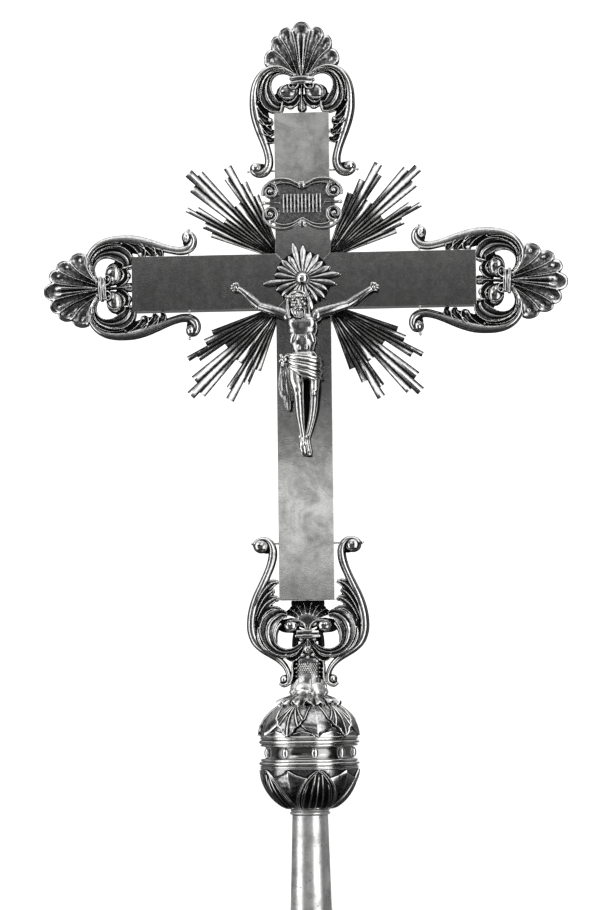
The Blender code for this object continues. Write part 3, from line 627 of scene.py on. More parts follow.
# A thin web between the stem and the leaves, which blacken paints black: painted shade in the gap.
SCROLL_SHADE_WEB = [
    (46, 20, 4.0, 2.0), (43, 6, 7.0, 2.0), (39.6, -8, 7.6, 2.0), (37.4, -20, 6.4, 2.0), (38.4, -26, 3.6, 2.0),
]


def scroll_forms():
    """Right-hand scroll of a top or side end."""
    forms = [
        ribbon(SCROLL_STEM, rounded, 23), ribbon(SCROLL_BAND, rimmed(0.3), 19),
        ribbon(SCROLL_CRESCENT, rimmed(0.5, 2), 41), ribbon(SCROLL_TIP), ribbon(SCROLL_SHADE_WEB),
    ]
    return forms + [ribbon(rows, rimmed(0.5, 1), 23) for rows in SCROLL_LEAVES] + flat_balls(SCROLL_BALLS)


def fan_form(lobes, root, depth, dish=0.55, plain=0.0, twin=False):
    """A scallop shell. Each lobe is (start angle, end angle, reach at its start, reach at its end, crown): a
    hollow between two thin ribs that sweep outwards, with a rolled head. The lobes meet at the root's height;
    the shell is smooth below the plain share of its reach, and the middle lobe may carry twin ridges."""
    columns, rows = 26, 70
    t = np.linspace(-1, 1, columns)
    s = np.linspace(0.1, 1, rows)[:, None]
    sweep = 0.84 + 0.16 * np.clip((s - 0.55) / 0.45, 0, 1) ** 1.6
    x, z, height = [], [], []
    for k, (start, end, near_reach, far_reach, crown) in enumerate(lobes):
        angle = np.radians(start + (end - start) * (t + 1) / 2)[None] * sweep
        head_line = near_reach + (far_reach - near_reach) * (t + 1) / 2 + crown * (1 - np.abs(t) ** 2.4)
        reach = head_line[None] * s
        x.append(np.sin(angle) * reach * PIXEL)
        z.append((root + np.cos(angle) * reach) * PIXEL)
        deep = np.clip((s - plain) * 2.4, 0, 1)
        bowl = 1 - dish * (1 - np.abs(t) ** 2.6) * deep
        head = -0.30 * np.exp(-((t / 0.7) ** 2) - (((s - 0.84) / 0.09) ** 2))
        rib = 0.26 * np.exp(-(((1 - np.abs(t)) / 0.14) ** 2)) * deep
        outer = 0.35 * np.sign(start + end)
        bead = 0.34 * np.exp(-(((t - outer) / 0.24) ** 2) - (((s - 0.83) / 0.035) ** 2))
        if twin and k == len(lobes) // 2:
            bead = 0.62 * np.exp(-(((np.abs(t) - 0.44) / 0.27) ** 2)) * np.clip((0.84 - s) * 9, 0, 1)
        roll = np.sqrt(np.clip((1.004 - s) / 0.07, 0.02, 1))
        height.append((bowl + head + rib + bead) * roll * (0.7 + 0.3 * np.sin(np.pi * s**0.8)))
    x, z, height = (np.hstack(part) for part in (x, z, height))
    front = np.dstack([x, -depth * height, z])
    count = front.shape[0] * front.shape[1]
    points = np.concatenate([front.reshape(-1, 3), (front * [1, -1, 1]).reshape(-1, 3)])
    wide = front.shape[1]
    faces = []
    for i in range(rows - 1):
        for j in range(wide - 1):
            a, b, c, d = i * wide + j, i * wide + j + 1, (i + 1) * wide + j + 1, (i + 1) * wide + j
            faces += [(a, b, c, d), (d + count, c + count, b + count, a + count)]
    border = list(range(wide)) + [i * wide + wide - 1 for i in range(1, rows)]
    border += [(rows - 1) * wide + j for j in range(wide - 2, -1, -1)]
    border += [i * wide for i in range(rows - 2, 0, -1)]
    for a, b in zip(border, border[1:] + border[:1]):
        faces.append((b, a, a + count, b + count))
    return points, faces


def both_sides(lobes):
    """The lobes right of the middle one, followed by it and their mirror images."""
    return [(-end, -start, far, close, crown) for start, end, close, far, crown in lobes[::-1]] + lobes


def shell_forms():
    lobes = [(9.6, 24.6, 57.4, 55.4, 4.6), (24.6, 39.6, 55.4, 48.0, 4.2), (39.6, 62, 48.0, 41.6, 3.6)]
    return [fan_form(both_sides(lobes)[:3] + [(-9.6, 9.6, 57.0, 57.0, 7.6)] + lobes, 30.0, 4.4, 0.5, 0, True)]


def curled_leaf_forms():
    """Two leaves curled into balls, with a bud between them that points at the arm."""
    curl = [
        (3.2, 33, 1.4, 6.4), (3.4, 28.2, 1.5, 8.0), (6.4, 25.2, 1.5, 8.8), (10.6, 25.4, 1.5, 9.0),
        (12.6, 28.2, 1.3, 8.8), (10.6, 30.4, 1.1, 8.4), (8.4, 29.0, 0.9, 8.2),
    ]
    edge = [(14.8, 30.4, 0.8, 5.0), (19.4, 27.6, 1.2, 7.0), (21.8, 23.0, 1.2, 7.0), (20.6, 18.4, 0.9, 6.2)]
    # The stalk lies low and the last flat ball lower still, where blacken paints them dark: painted shadow
    # under the curled ball.
    stalk = [
        (2.2, 20, 1.4, 3.2), (6.4, 12.6, 3.4, 4.0), (12.4, 9.4, 3.4, 4.0), (18.6, 11.8, 2.6, 3.8),
        (23.0, 16.6, 1.2, 3.0),
    ]
    leaf = [ribbon(curl), ribbon(edge), ribbon(stalk, rimmed(0.4))] + flat_balls([
        (14.4, 22.4, 11.6, 8.8, 7.4, 0, -4), (10.0, 24.8, 7.6, 6.4, 7.6), (11.8, 7.2, 3.6, 2.2, 4.6),
        (22.6, 15.4, 7.6, 7.4, 2.6),
    ])
    bud = [
        (0, 34, 2.2, 4.0), (0, 20, 1.6, 5.4), (0, 13, 2.6, 6.0), (0, 7.6, 4.6, 6.2), (0, 4.0, 4.4, 5.6),
        (0, 1.0, 1.4, 3.0),
    ]
    return mirrored(leaf) + [ribbon(bud, keeled)]


def clasp_forms():
    """A collar with two round bars on each face, and three beads above it."""
    collar = [ribbon([(-11.0, 33.8, 2.6, 5.6), (11.0, 33.8, 2.6, 5.6)], rounded, 19)]
    for level, wide in ((31.6 * PIXEL, 11.0 * PIXEL), (36.0 * PIXEL, 12.4 * PIXEL)):
        for y in (-5.8, 5.8):
            bar = [(-wide, y * 0.8, level, 1.4), (0, y * 1.06, level, 2.1), (wide, y * 0.8, level, 1.4)]
            collar.append(limb(bar, 24, 0.6))
    collar.append(flat_ball(0, 39.6, 2.2, 2.2, 6.6))
    return collar + mirrored([flat_ball(6.8, 39.4, 3.2, 2.6, 6.4)])


# The side castings sit on their pins a little further in than the arm's end, sag, and hang lower.
SIDE_INSET, SIDE_SAG, SIDE_DROP = 2.8, 2.1, 1.6


def build_upper_ends():
    arms = {"top": shifted(0, 0, TOP_END)}
    for name, side in (("right", 1), ("left", -1)):
        end = shifted(side * (SIDE_END - SIDE_INSET), 0, CROSSING - SIDE_DROP)
        arms[name] = end @ turned(side * (90 + SIDE_SAG), "Y")
    sides = {"top": ("left", "right"), "right": ("upper", "lower"), "left": ("lower", "upper")}
    # blacken paints shade on the deep middle layer of each casting: its webs, flanks and gaps go dark.
    scroll = blacken(melted(scroll_forms(), 0.38, "scroll"), 2.6, 2.1)
    shell = blacken(melted(shell_forms(), 0.38, "shell", 2, (10, 0.5)), 1.2, 0.5)
    leaves = blacken(melted(curled_leaf_forms(), 0.36, "curled_leaves"), 3.4, 2.6)
    clasp = blacken(melted(clasp_forms(), 0.34, "clasp", 2, (10, 0.6)), 3.4, 2.6)
    for name, place in arms.items():
        for side, label in zip((-1, 1), sides[name]):
            cast(scroll, f"{name}_scroll_{label}", place @ Matrix.Diagonal((side, 1, 1, 1)))
        for mesh, piece in ((shell, "shell"), (leaves, "curled_leaves"), (clasp, "clasp")):
            cast(mesh, f"{name}_{piece}", place)


build_upper_ends()


LOWER_STEM = [
    (53.4, -54.6, 1.4, 3.2), (52.0, -58.2, 1.8, 4.4), (47.4, -60.9, 2.1, 4.8), (41.8, -60.8, 2.7, 5.2),
    (37.0, -57.2, 3.4, 5.2), (34.6, -51.4, 4.0, 5.0), (34.6, -44.6, 4.4, 5.0), (36.6, -35.6, 4.3, 5.0),
    (40.6, -25.6, 4.1, 5.1), (45.6, -14.6, 4.3, 5.2), (50.4, -4.0, 4.6, 5.3), (54.2, 7.4, 4.8, 5.4),
    (
        56.4, 19.6, 4.8, 5.4,
    ), (56.0, 31.6, 4.8, 5.4), (52.6, 41.0, 4.5, 5.3), (46.2, 48.0, 4.1, 5.1), (38.0, 53.6, 3.7, 5.0),
    (30.0, 59.0, 3.3, 4.8), (24.2, 64.6, 3.0, 4.8), (20.8, 70.8, 2.8, 4.8), (19.4, 77.0, 2.9, 5.0),
    (20.6, 82.4, 2.7, 5.0), (25.2, 84.8, 2.2, 4.8), (29.4, 82.4, 1.5, 4.2),
]
LOWER_BAND = [
    (12.0, 53.6, 0.9, 4.4), (20.0, 56.2, 1.6, 5.2), (29.0, 55.4, 2.0, 5.6), (38.0, 51.8, 2.3, 6.0),
    (45.4, 45.6, 2.6, 6.2), (49.4, 37.0, 2.8, 6.2), (49.6, 28.6, 1.8, 5.8),
]
LOWER_CRESCENT = [
    (1.8, 38.6, 1.6, 3.8), (5.8, 44.2, 2.6, 4.8), (12.2, 49.6, 3.4, 5.6), (20.8, 52.0, 3.8, 6.0),
    (29.2, 50.6, 4.6, 6.4), (35.8, 45.8, 5.6, 6.7), (39.6, 38.4, 7.2, 6.9), (40.4, 29.0, 8.8, 7.0),
    (37.4, 21.2, 8.8, 6.8), (32.0, 16.2, 7.6, 6.4), (26.0, 13.8, 5.2, 5.8), (20.6, 14.6, 2.8, 4.8),
]
LOWER_LEAVES = [
    [
        (54.6, 16, 1.0, 4.0), (51.0, 4, 3.8, 5.4), (45.8, -6.4, 4.6, 5.8), (39.8, -14.2, 4.8, 5.8),
        (33.6, -17.8, 3.6, 5.2), (29.2, -18.4, 1.8, 4.2),
    ],
    [
        (52.0, 16, 1.0, 4.0), (47.6, 5, 3.8, 5.6), (42.6, -3.2, 4.2, 5.8), (37.8, -8.2, 3.6, 5.2),
        (34.6, -9.6, 2.2, 4.6), (34.2, -7.0, 1.2, 4.0),
    ],
    [
        (50.8, 20, 1.0, 4.2), (46.2, 9.6, 4.2, 5.8), (41.0, 2.8, 4.8, 6.0), (35.8, -0.8, 4.2, 5.6),
        (31.6, -1.6, 3.0, 5.2), (30.2, 1.2, 1.6, 4.6),
    ],
    [
        (49.0, 25, 1.0, 4.4), (44.2, 15.6, 4.2, 5.8), (38.0, 10.0, 4.2, 5.8), (31.6, 8.8, 3.4, 5.2),
        (26.0, 10.6, 1.8, 4.2),
    ],
]
LOWER_FOLD = [(31.6, 42, 0.8, 5.0), (32.6, 34, 2.2, 6.2), (30.6, 27, 2.8, 6.4), (26.8, 23.0, 1.8, 5.4)]
# A thin web between the stem and the leaves, which blacken paints black: painted shade in the gap.
LOWER_SHADE_WEB = [
    (50, 34, 4.0, 2.0), (47.6, 18, 8.0, 2.0), (44, 4, 8.4, 2.0), (40.6, -8, 6.4, 2.0), (41.4, -16, 3.0, 2.0),
]
# The last ball is a thin web inside the volute that blacken paints black: painted shade.
LOWER_BALLS = [
    (46.0, -54.8, 8.4, 7.8, 6.8), (44.4, -56.0, 3.0, 2.6, 7.8), (49.0, 27.6, 1.9, 1.9, 6.8),
    (24.4, 78.6, 4.4, 4.4, 5.0), (41.0, -53.0, 6.4, 6.4, 2.0),
]


def lower_scroll_forms():
    forms = [
        ribbon(LOWER_STEM, rounded, 23), ribbon(LOWER_BAND, rounded, 19), ribbon(
            LOWER_CRESCENT, rimmed(0.42, 2), 41,
        ),
        ribbon(LOWER_FOLD), ribbon(LOWER_SHADE_WEB),
    ]
    return forms + [ribbon(rows, fluted(2, 0.36), 29) for rows in LOWER_LEAVES] + flat_balls(LOWER_BALLS)


def lower_leaf_forms():
    # The root and the last, flat ball lie deep enough for blacken to paint them black: painted shade behind
    # the curled balls.
    root = [(9.6, 28, 3.4, 2.4), (12.0, 36, 3.6, 2.4), (13.6, 47, 3.0, 2.4)]
    hook = [
        (1.6, 32, 1.2, 4.4), (2.2, 27.2, 1.5, 5.8), (5.2, 22.8, 1.7, 6.8), (9.6, 20.4, 1.8, 7.2), (
            14.0, 20.2, 1.8, 7.0,
        ),
        (18.4, 20.6, 1.6, 6.2),
    ]
    balls = [(16.8, 25.2, 8.4, 7.6, 7.6), (18.6, 23.8, 4.4, 3.8, 8.3), (20.0, 25.4, 11.5, 7.2, 2.4)]
    bud = [(0, 36, 2.0, 4.0), (0, 28, 1.6, 4.6), (0, 21, 0.8, 3.2)]
    return mirrored([ribbon(root), ribbon(hook)] + flat_balls(balls)) + [ribbon(bud, keeled)]


def lower_shell_forms():
    lobes = [(9, 27, 26.4, 26.2, 1.2), (27, 45, 26.2, 26.4, 1.2), (45, 62, 26.4, 26.0, 1.2)]
    fan = fan_form(both_sides(lobes)[:3] + [(-9, 9, 26.4, 26.4, 1.2)] + lobes, 0, 5.0, 0.8, 0.45)
    over = Matrix.Translation((0, 0, 27.6 * PIXEL)) @ turned(180, "Y")
    return [moved(fan, over), flat_ball(0, 19.6, 13.0, 9.4, 4.4)]


def strap_forms():
    """The strap behind the lower shell that runs up into the arm."""
    strip = [(0, 0.4, 16.6, 2.0, 0.4), (0, 5, 16.6, 2.0, 0.4), (0, 10, 14.0, 2.0, 0.4)]
    return [ribbon(strip, lambda t: np.clip((1.03 - np.abs(t)) * 12, 0.2, 1), 25)]


def foot_forms():
    """Neck with a shell pendant, beads down its sides and a round foot; the broad petals round it come from
    petal_forms.
    """
    trunk = [
        (0, 43, 2.0, 3.4), (0, 50, 9.0, 5.0), (0, 58, 13.2, 6.4), (0, 65, 13.6, 7.4), (0, 73, 13.2, 8.6),
        (0, 80, 14.2, 10.5), (0, 86, 15.4, 12.5), (0, 92, 16.0, 13.2),
    ]
    forms = [
        ribbon(trunk, lambda t: np.sqrt(np.clip(1 - 0.98 * t * t, 0.02, 1)), 31),
        ball(0, 0, 92.6 * PIXEL, 14.6, 14.6, 4.2, around=48),
        ball(0, 0, 97.0 * PIXEL, 13.8, 13.8, 3.2, around=48),
        ribbon([(0, 38.6, 1.0, 5.4), (0, 43, 2.6, 7.0), (0, 47, 1.4, 7.2)], keeled),
    ]
    forms += flat_balls([(0, 49.4, 6.0, 6.2, 7.4), (0, 49.8, 2.5, 3.0, 9.2), (0, 57.2, 3.2, 3.2, 8.2)])
    wing = [
        (2.6, 43.6, 1.0, 6.0), (6.8, 50.6, 2.2, 7.0), (11.2, 56.4, 2.8, 7.2), (16.6, 58.6, 2.8, 6.8),
        (21.0, 57.0, 1.9, 6.2), (22.8, 53.8, 1.0, 5.2),
    ]
    side = [
        (15.0, 61, 1.0, 6.0), (15.8, 67, 1.5, 7.0), (15.4, 73, 1.7, 8.0), (16.4, 79, 1.9, 9.0),
        (18.6, 84, 1.2, 9.0),
    ]
    half = flat_balls([(11.6, 59.5 + 4.1 * k, 1.7, 1.7, 6.6 + 0.5 * k) for k in range(5)])
    half += flat_balls([
        (5.4, 54.8, 3.6, 3.4, 8.2), (6.4, 61.6, 1.6, 1.4, 8.4), (0, 62.6, 1.7, 1.6, 8.8), (
            22.2, 54.8, 2.0, 2.0, 5.6,
        ),
    ])
    forms += mirrored(half + [ribbon(wing, rimmed(0.4)), ribbon(side)])
    for row in range(8):  # fine grains between the lines of beads
        for k in range(-4, 5):
            u, v = 2.2 * k + 1.1 * (row % 2), 64 + 2.0 * row
            depth = (6.9 + 1.4 * (v - 58) / 15) * math.sqrt(1 - (u / 14.5) ** 2)
            forms += [ball(u * PIXEL, y, v * PIXEL, 0.62, around=8, rings=7) for y in (-depth, depth)]
    return forms


def petal_forms():
    """Six broad petals round the foot, with a small leaf between each two."""
    forms = []
    small = ribbon([(0, 79, 0.8, 1.6, -11.4), (0, 84, 1.7, 2.6, -13.2), (0, 88, 0.8, 1.8, -15.4)], keeled)
    broad = flat_balls([(0, 88.2, 9.0, 6.4, 3.4, -12.6), (0, 91.6, 7.0, 3.4, 3.0, -14.0)])
    for k in range(6):
        angle = 19 - 60 * k
        forms += [moved(form, turned(angle, "Z")) for form in broad]
        forms.append(moved(small, turned(angle - 30, "Z")))
    return forms


def build_lower_end():
    place = shifted(0, 0, LOWER_END) @ turned(180, "Y")
    # blacken paints shade on the deep middle layer of each casting: its webs, flanks and gaps go dark.
    scroll = blacken(melted(lower_scroll_forms(), 0.38, "lower_scroll", 2, (10, 0.3)), 2.8, 2.2)
    for side, label in ((-1, "right"), (1, "left")):
        cast(scroll, f"lower_scroll_{label}", place @ Matrix.Diagonal((side, 1, 1, 1)))
    for forms, piece, clean_and_unshaded, depth in (
        (
            lower_leaf_forms(), "lower_curled_leaves", 3.4, 0.28,
        ), (lower_shell_forms(), "lower_shell", 1.8, 0.4),
        (clasp_forms(), "lower_clasp", 3.4, 0.6), (foot_forms(), "lower_foot", 1.6, 0.34),
    ):
        cast(blacken(melted(forms, 0.36, piece, 2, (10, depth)), clean_and_unshaded, clean_and_unshaded - 0.8), piece, place)
    placed(melted(petal_forms(), 0.34, "petals", 2, (8, 0.9)), "lower_foot_petals", material["tube"], place)
    strap = melted(strap_forms(), 0.4, "strap")
    # The strap's patina is set full, so it is painted black: painted shade behind the lower shell.
    set_patina_and_shade(strap, np.ones(len(strap.vertices)))
    placed(strap, "lower_shell_strap", material["cast"], place)


build_lower_end()


# ---------------------------------------------------------------- rays, title board and nimbus

RAY_APEX = 18.0  # where the rays of a fan would meet, from the crossing's middle
# Each ray: the angles of its two sides, and its reach.
RAYS = [
    (19.6, 23.4, 67), (23.4, 28.0, 76), (28.0, 30.8, 96), (30.8, 34.0, 88), (34.0, 37.7, 62),
    (37.7, 41.9, 102), (41.9, 46.0, 113.5), (46.0, 49.2, 106), (49.2, 55.0, 64),
    (55.0, 58.0, 88), (58.0, 62.5, 96), (62.5, 66.5, 77), (66.5, 71.0, 62.5),
]


def ray_form(low, high, reach):
    """A tapering ray with one sharp ridge on each face, from the side of the arms to its own reach. It comes
    with a patina of 1 in the valleys at its sides and 0 on its ridge."""
    middle, half = math.radians((low + high) / 2), math.tan(math.radians((high - low) / 2))
    start = (HALF - RAY_APEX) / min(math.sin(middle), math.cos(middle)) - 1.0
    t = np.linspace(-1, 1, 13)
    sharp = 1 - np.abs(t)
    r = np.linspace(start, reach, 50)
    width = r * half + 0.03
    tip = np.clip((reach - r) / 0.5, 0, 1)
    thick = (0.7 + 0.3 * np.clip((r - start) / 30, 0, 1))[:, None] * (0.75 + 0.25 * tip)[:, None]
    depth = (0.35 + 1.75 * sharp[None]) * thick
    x = RAY_APEX + r[:, None] * math.cos(middle) - width[:, None] * t * math.sin(middle)
    z = RAY_APEX + r[:, None] * math.sin(middle) + width[:, None] * t * math.cos(middle)
    ring_x, ring_z = np.hstack([x, x[:, ::-1]]), np.hstack([z, z[:, ::-1]])
    ring_y = np.hstack([-depth, depth[:, ::-1]])
    patina_and_shade = np.tile(np.hstack([1 - sharp, (1 - sharp)[::-1]]), len(r))
    return np.dstack([ring_x, ring_y, ring_z]).reshape(-1, 3), tube_faces(len(r), 26), patina_and_shade


def build_rays():
    made = [ray_form(*ray) for ray in RAYS]
    fan = mesh_of(joined([(points, faces) for points, faces, _ in made]), "ray_fan")
    set_patina_and_shade(fan, np.concatenate([values for _, _, values in made]))
    for x, side in ((-1, "left"), (1, "right")):
        for z, level in ((-1, "lower"), (1, "upper")):
            place = shifted(0, 0, CROSSING) @ Matrix.Diagonal((x, 1, z, 1))
            piece = cast(fan, f"rays_{level}_{side}", place, "rays")
            piece.data.set_sharp_from_angle(angle=math.radians(20))


def spiral(x, z, radius, start, turns, hand, wide=1.9, deep=1.5, y=0.0):
    """A volute that winds from its rim, at the start angle, into its eye."""
    rows = []
    for k in range(int(abs(turns) * 10) + 1):
        share = k / (abs(turns) * 10)
        angle = math.radians(start) + hand * share * turns * 2 * math.pi
        r = radius * (1 - 0.78 * share)
        rows.append((x + r * math.cos(angle), z + r * math.sin(angle), wide * (1 - 0.45 * share), deep, y))
    return rows


def title_forms():
    """A shield with rolled corners, two bosses, a double rim and a reeded field."""
    over = [(0, 18.6), (5, 20.6), (12, 24.2), (20, 25.6), (28, 24.6), (34, 21.4), (39, 15.5), (39.6, 9.0)]
    under = [
        (0, -16.8), (5, -19.6), (12, -23.4), (20, -24.8), (28, -23.6), (34, -19.6), (38.4, -14.0), (39.0, -8),
    ]
    forms = []
    for rim in (over, under):
        for sign in (-1, 1):
            forms.append(ribbon([(sign * u, v, 1.5, 2.6, -0.2) for u, v in rim], rounded, 13))
            forms.append(ribbon([(
                sign * u * 0.88, v * 0.84, 1.0, 2.0, -0.1,
            ) for u, v in rim[:6]], rounded, 11))
    plate = [
        (-33, 1, 12, 0.85), (-28, 0.6, 19, 0.85), (-20, 0.4, 22.6, 0.85), (-10, 0.4, 20.8, 0.85),
        (0, 0.8, 17.6, 0.85),
    ]
    plate += [(-u, v, w, d) for u, v, w, d in reversed(plate[:-1])]
    forms.append(ribbon(plate, lambda t: np.ones_like(t), 31))
    for sign in (-1, 1):
        for v, start, hand in ((13.2, 90, 1), (-9.4, -90, -1)):
            eye = sign * 32.4
            rows = spiral(eye, v, 8.0, start, 1.3, hand * sign, 2.3, 2.3)
            forms.append(ribbon(rows[::-1], rounded, 13, 0.5))
            forms += flat_balls([(eye, v, 7.0, 7.0, 1.0), (eye, v, 2.6, 2.6, 3.0)])
            for spread in (-1, 0, 1):  # three short leaves from the volute towards the field
                tip = v * 0.82 + 4.5 * math.sin(math.radians(180 + spread * 32))
                leaf = [
                    (eye - sign * 3, v, 1.0, 1.8), (eye - sign * 7.2, (v + tip) / 2, 1.5, 1.9),
                    (eye - sign * 9.8, tip, 0.7, 1.3),
                ]
                forms.append(ribbon(leaf, fluted(1)))
        bar = [(sign * 39.0, 1.6, 1.4, 2.0), (sign * 32, 1.4, 1.6, 1.7), (sign * 22.5, 1.2, 1.2, 1.5)]
        forms += [ribbon(bar, fluted(2, 0.5)), flat_ball(sign * 38.6, 1.6, 2.0, 2.2, 2.2)]
    pitch = 3.7
    for x in [pitch * k for k in range(-5, 6)]:
        reed = [(x, 9.6, 0.6, 1.3), (x, 7.6, 0.95, 1.75), (x, -6.4, 0.95, 1.75), (x, -8.4, 0.6, 1.3)]
        forms.append(ribbon(reed, rounded, 9))
    for x in [pitch * k for k in (-3, 0, 3)]:
        forms.append(ribbon([(x, 5, 0.4, 1.5), (x, 1, 2.3, 2.1), (x, -3, 0.4, 1.5)], keeled, 9))
    return forms


def build_title():
    cast(melted(title_forms(), 0.3, "title", 1, (9, 0.4)), "title_board", shifted(*centre("title_board")))


def nimbus_forms():
    """Twenty-two petals, four groups of them long, round a domed centre on a thin disc, which blacken paints
    black as the shade in the gaps between the petals.
    """
    forms = [ball(0, 0, 0, 8.5, 1.6, 8.5, around=40), ball(0, 0, 0, 24.0, 0.6, 24.0, around=60)]
    count, wide = 22, 3.1 * PIXEL
    for k in range(count):
        angle = 7 + 360 * k / count
        from_long = min(abs((angle - long + 180) % 360 - 180) for long in (2, 98, 187, 277))
        reach = (28.6 + 11.5 * math.exp(-((from_long / 13) ** 2)) + 1.6 * math.sin(k * 2.4)) * PIXEL
        rows = [
            (0.6, 0, 0.5, 1.0), (reach * 0.35, 0, wide * 0.52, 1.5), (reach * 0.7, 0, wide * 0.94, 1.7, -0.1),
            (reach * 0.86, 0, wide * 0.84, 1.5), (
                reach * 0.96, 0, wide * 0.45, 1.1, 0.2,
            ), (reach, 0, 0.2, 0.6, 0.3),
        ]
        forms.append(moved(ribbon(rows, keeled, 17, 0.5, unit=1), turned(-angle, "Y")))
    return forms


def build_nimbus():
    hub = centre("nimbus_boss")
    # blacken paints the thin disc and the petals' edges black: painted shade between the petals.
    nimbus = blacken(melted(nimbus_forms(), 0.28, "nimbus", 1, (7, 0.2)), 0.95, 0.6)
    cast(nimbus, "nimbus", shifted(hub[0], centre("nimbus")[1], hub[2]))


build_rays()
build_title()
build_nimbus()


# ---------------------------------------------------------------- knop and socket


def revolved(outline, steps=240, relief=None, name="turned"):
    """A body turned round Z. The outline is a closed loop of (radius, height). relief(angle in degrees,
    radius, height) says how far each point is pushed out and lifted."""
    outline = np.array(outline, float)
    angle = np.linspace(0, 2 * np.pi, steps, endpoint=False)
    radius = np.repeat(outline[:, :1], steps, axis=1)
    height = np.repeat(outline[:, 1:], steps, axis=1)
    if relief is not None:
        push, lift = relief(np.degrees(angle)[None], radius, height)
        radius, height = radius + push, height + lift
    # The front, towards -Y, is at 0 degrees, and +X at 90.
    points = np.dstack([radius * np.sin(angle), -radius * np.cos(angle), height]).reshape(-1, 3)
    faces = []
    for i in range(len(outline)):
        k = (i + 1) % len(outline)
        for j in range(steps):
            m = (j + 1) % steps
            faces.append((i * steps + j, i * steps + m, k * steps + m, k * steps + j))
    return mesh_of((points, faces), name)


def profile(rows, count):
    """A smooth stretch of an outline through the rows (radius, height)."""
    return spline([(r, 0, z) for r, z in rows], count)[:, [0, 2]]


def near(angle, middle, pitch):
    """Signed distance in degrees from the nearest of the angles middle + k * pitch."""
    return (angle - middle + pitch / 2) % pitch - pitch / 2


def bump_line(distance, width, height):
    return height * np.exp(-((distance / width) ** 2))


LOWER_LOW, LOWER_HIGH = heights("knop_lower_bowl")
UPPER_LOW, UPPER_HIGH = heights("knop_upper_bowl")
LOWER_RADIUS = corners("knop_lower_bowl")[1][0]
UPPER_RADIUS = corners("knop_upper_bowl")[1][0]
DEGREE = np.radians(1)


def keeled_leaf(away, edge, mm, base, crown):
    """A leaf with a steep edge that rises towards its keel. The angles away from the keel and to the edge
    are in degrees, and mm is the length of a degree."""
    within = (edge - away) * mm
    rise = base + crown * np.clip(1 - away / (edge + 1e-3), 0, 1)
    return np.where(within > 0, np.clip(within / 0.5, 0, 1) * rise, 0)


def lower_leaves(angle, radius, height):
    """Five framed leaves with a palmette in each, and five plain keeled leaves between them."""
    t = np.clip((height - LOWER_LOW) / (LOWER_HIGH - LOWER_LOW), 0, 1)
    outside = radius > 0.62 * LOWER_RADIUS * np.sqrt(np.clip(t * 1.6, 0.05, 1))
    framed_at = near(angle, 15.5, 72)
    framed, plain = np.abs(framed_at), np.abs(near(angle, -20.5, 72))
    mm = DEGREE * np.clip(radius, 5, None)
    edge = 35.5 * np.clip((0.965 - t) / 0.965, 0, 1) ** 0.6
    inside = (edge - framed) * mm  # distance in from the frame's edge, in millimetres
    outer_rim = bump_line(inside - 1.0, 0.75, 1.35)
    frame = outer_rim + bump_line(inside - 3.5, 0.6, 0.95)
    fine = 0.5 + 0.5 * np.cos(np.radians(framed_at) * (26 + 30 * t) + t * 3.0 * np.sign(framed_at))
    vein = bump_line(framed * mm, 0.5, 0.9) * np.clip((0.8 - t) * 5, 0, 1)
    palmette = np.where(inside > 4.6, 0.5 * fine ** 3 + vein, 0)
    leaf_edge = np.interp(t, (0, 0.70, 0.78, 0.84, 0.90, 0.965), (40, 40, 19.0, 9.5, 4.6, 0.0))
    keel = np.where(inside < 0.1, keeled_leaf(plain, leaf_edge, mm, 0.55, 1.1), 0)
    rise = np.where(inside > 0, frame + palmette, np.maximum(keel, outer_rim))
    fade = np.clip((0.985 - t) * 60, 0, 1) * np.clip((t - 0.01) * 40, 0, 1)
    return np.where(outside, (rise * 1.45 - 1.3) * fade, 0), 0


def upper_leaves(angle, radius, height):
    """Five lobed leaves over five plain keeled leaves, all hanging, above a row of shallow scallops."""
    t = np.clip((height - UPPER_LOW) / (UPPER_HIGH - UPPER_LOW), 0, 1)
    outside = radius > 12
    mm = DEGREE * np.clip(radius, 8, None)
    lobed, plain = np.abs(near(angle, -21.5, 72)), np.abs(near(angle, 14.5, 72))
    plain_edge = np.interp(t, (0.02, 0.06, 0.12, 0.20, 0.30, 0.6, 1), (0, 2.6, 6.5, 12.5, 19, 26, 30))
    keel = keeled_leaf(plain, plain_edge, mm, 0.5, 1.0)
    levels = (0.03, 0.08, 0.16, 0.24, 0.30, 0.36, 0.44, 0.50, 0.7, 1)
    lobed_edge = np.interp(t, levels, (0, 4.2, 7.4, 8.6, 13.0, 16.0, 17.4, 21.5, 25, 34))
    within = (lobed_edge - lobed) * mm
    veins = bump_line(lobed * mm, 0.55, 0.9)
    for slant, from_t in ((16, 0.28), (23, 0.46)):
        vein_at = np.abs(lobed - np.clip((1.0 - t) / (1.0 - from_t), 0, 1) * slant * 0.82)
        veins = np.maximum(veins, bump_line(vein_at * mm, 0.5, 0.6) * (t > from_t))
    rim = bump_line(within - 0.6, 0.5, 0.7)
    leaf = np.where(within > 0, np.clip(within / 0.45, 0, 1) * 1.25 + veins + rim, 0)
    scallop_edge = np.interp(t, (0.0, 0.10, 0.17), (17, 12, 0))
    scallop = np.abs(near(angle, -3.5, 36))
    ground = np.where(scallop < scallop_edge, 0.45, 0)
    rise = np.maximum(np.maximum(ground, keel), leaf)
    fade = np.clip((t - 0.005) * 60, 0, 1)
    return np.where(outside, (rise * 1.7 - 1.5) * fade, 0), 0


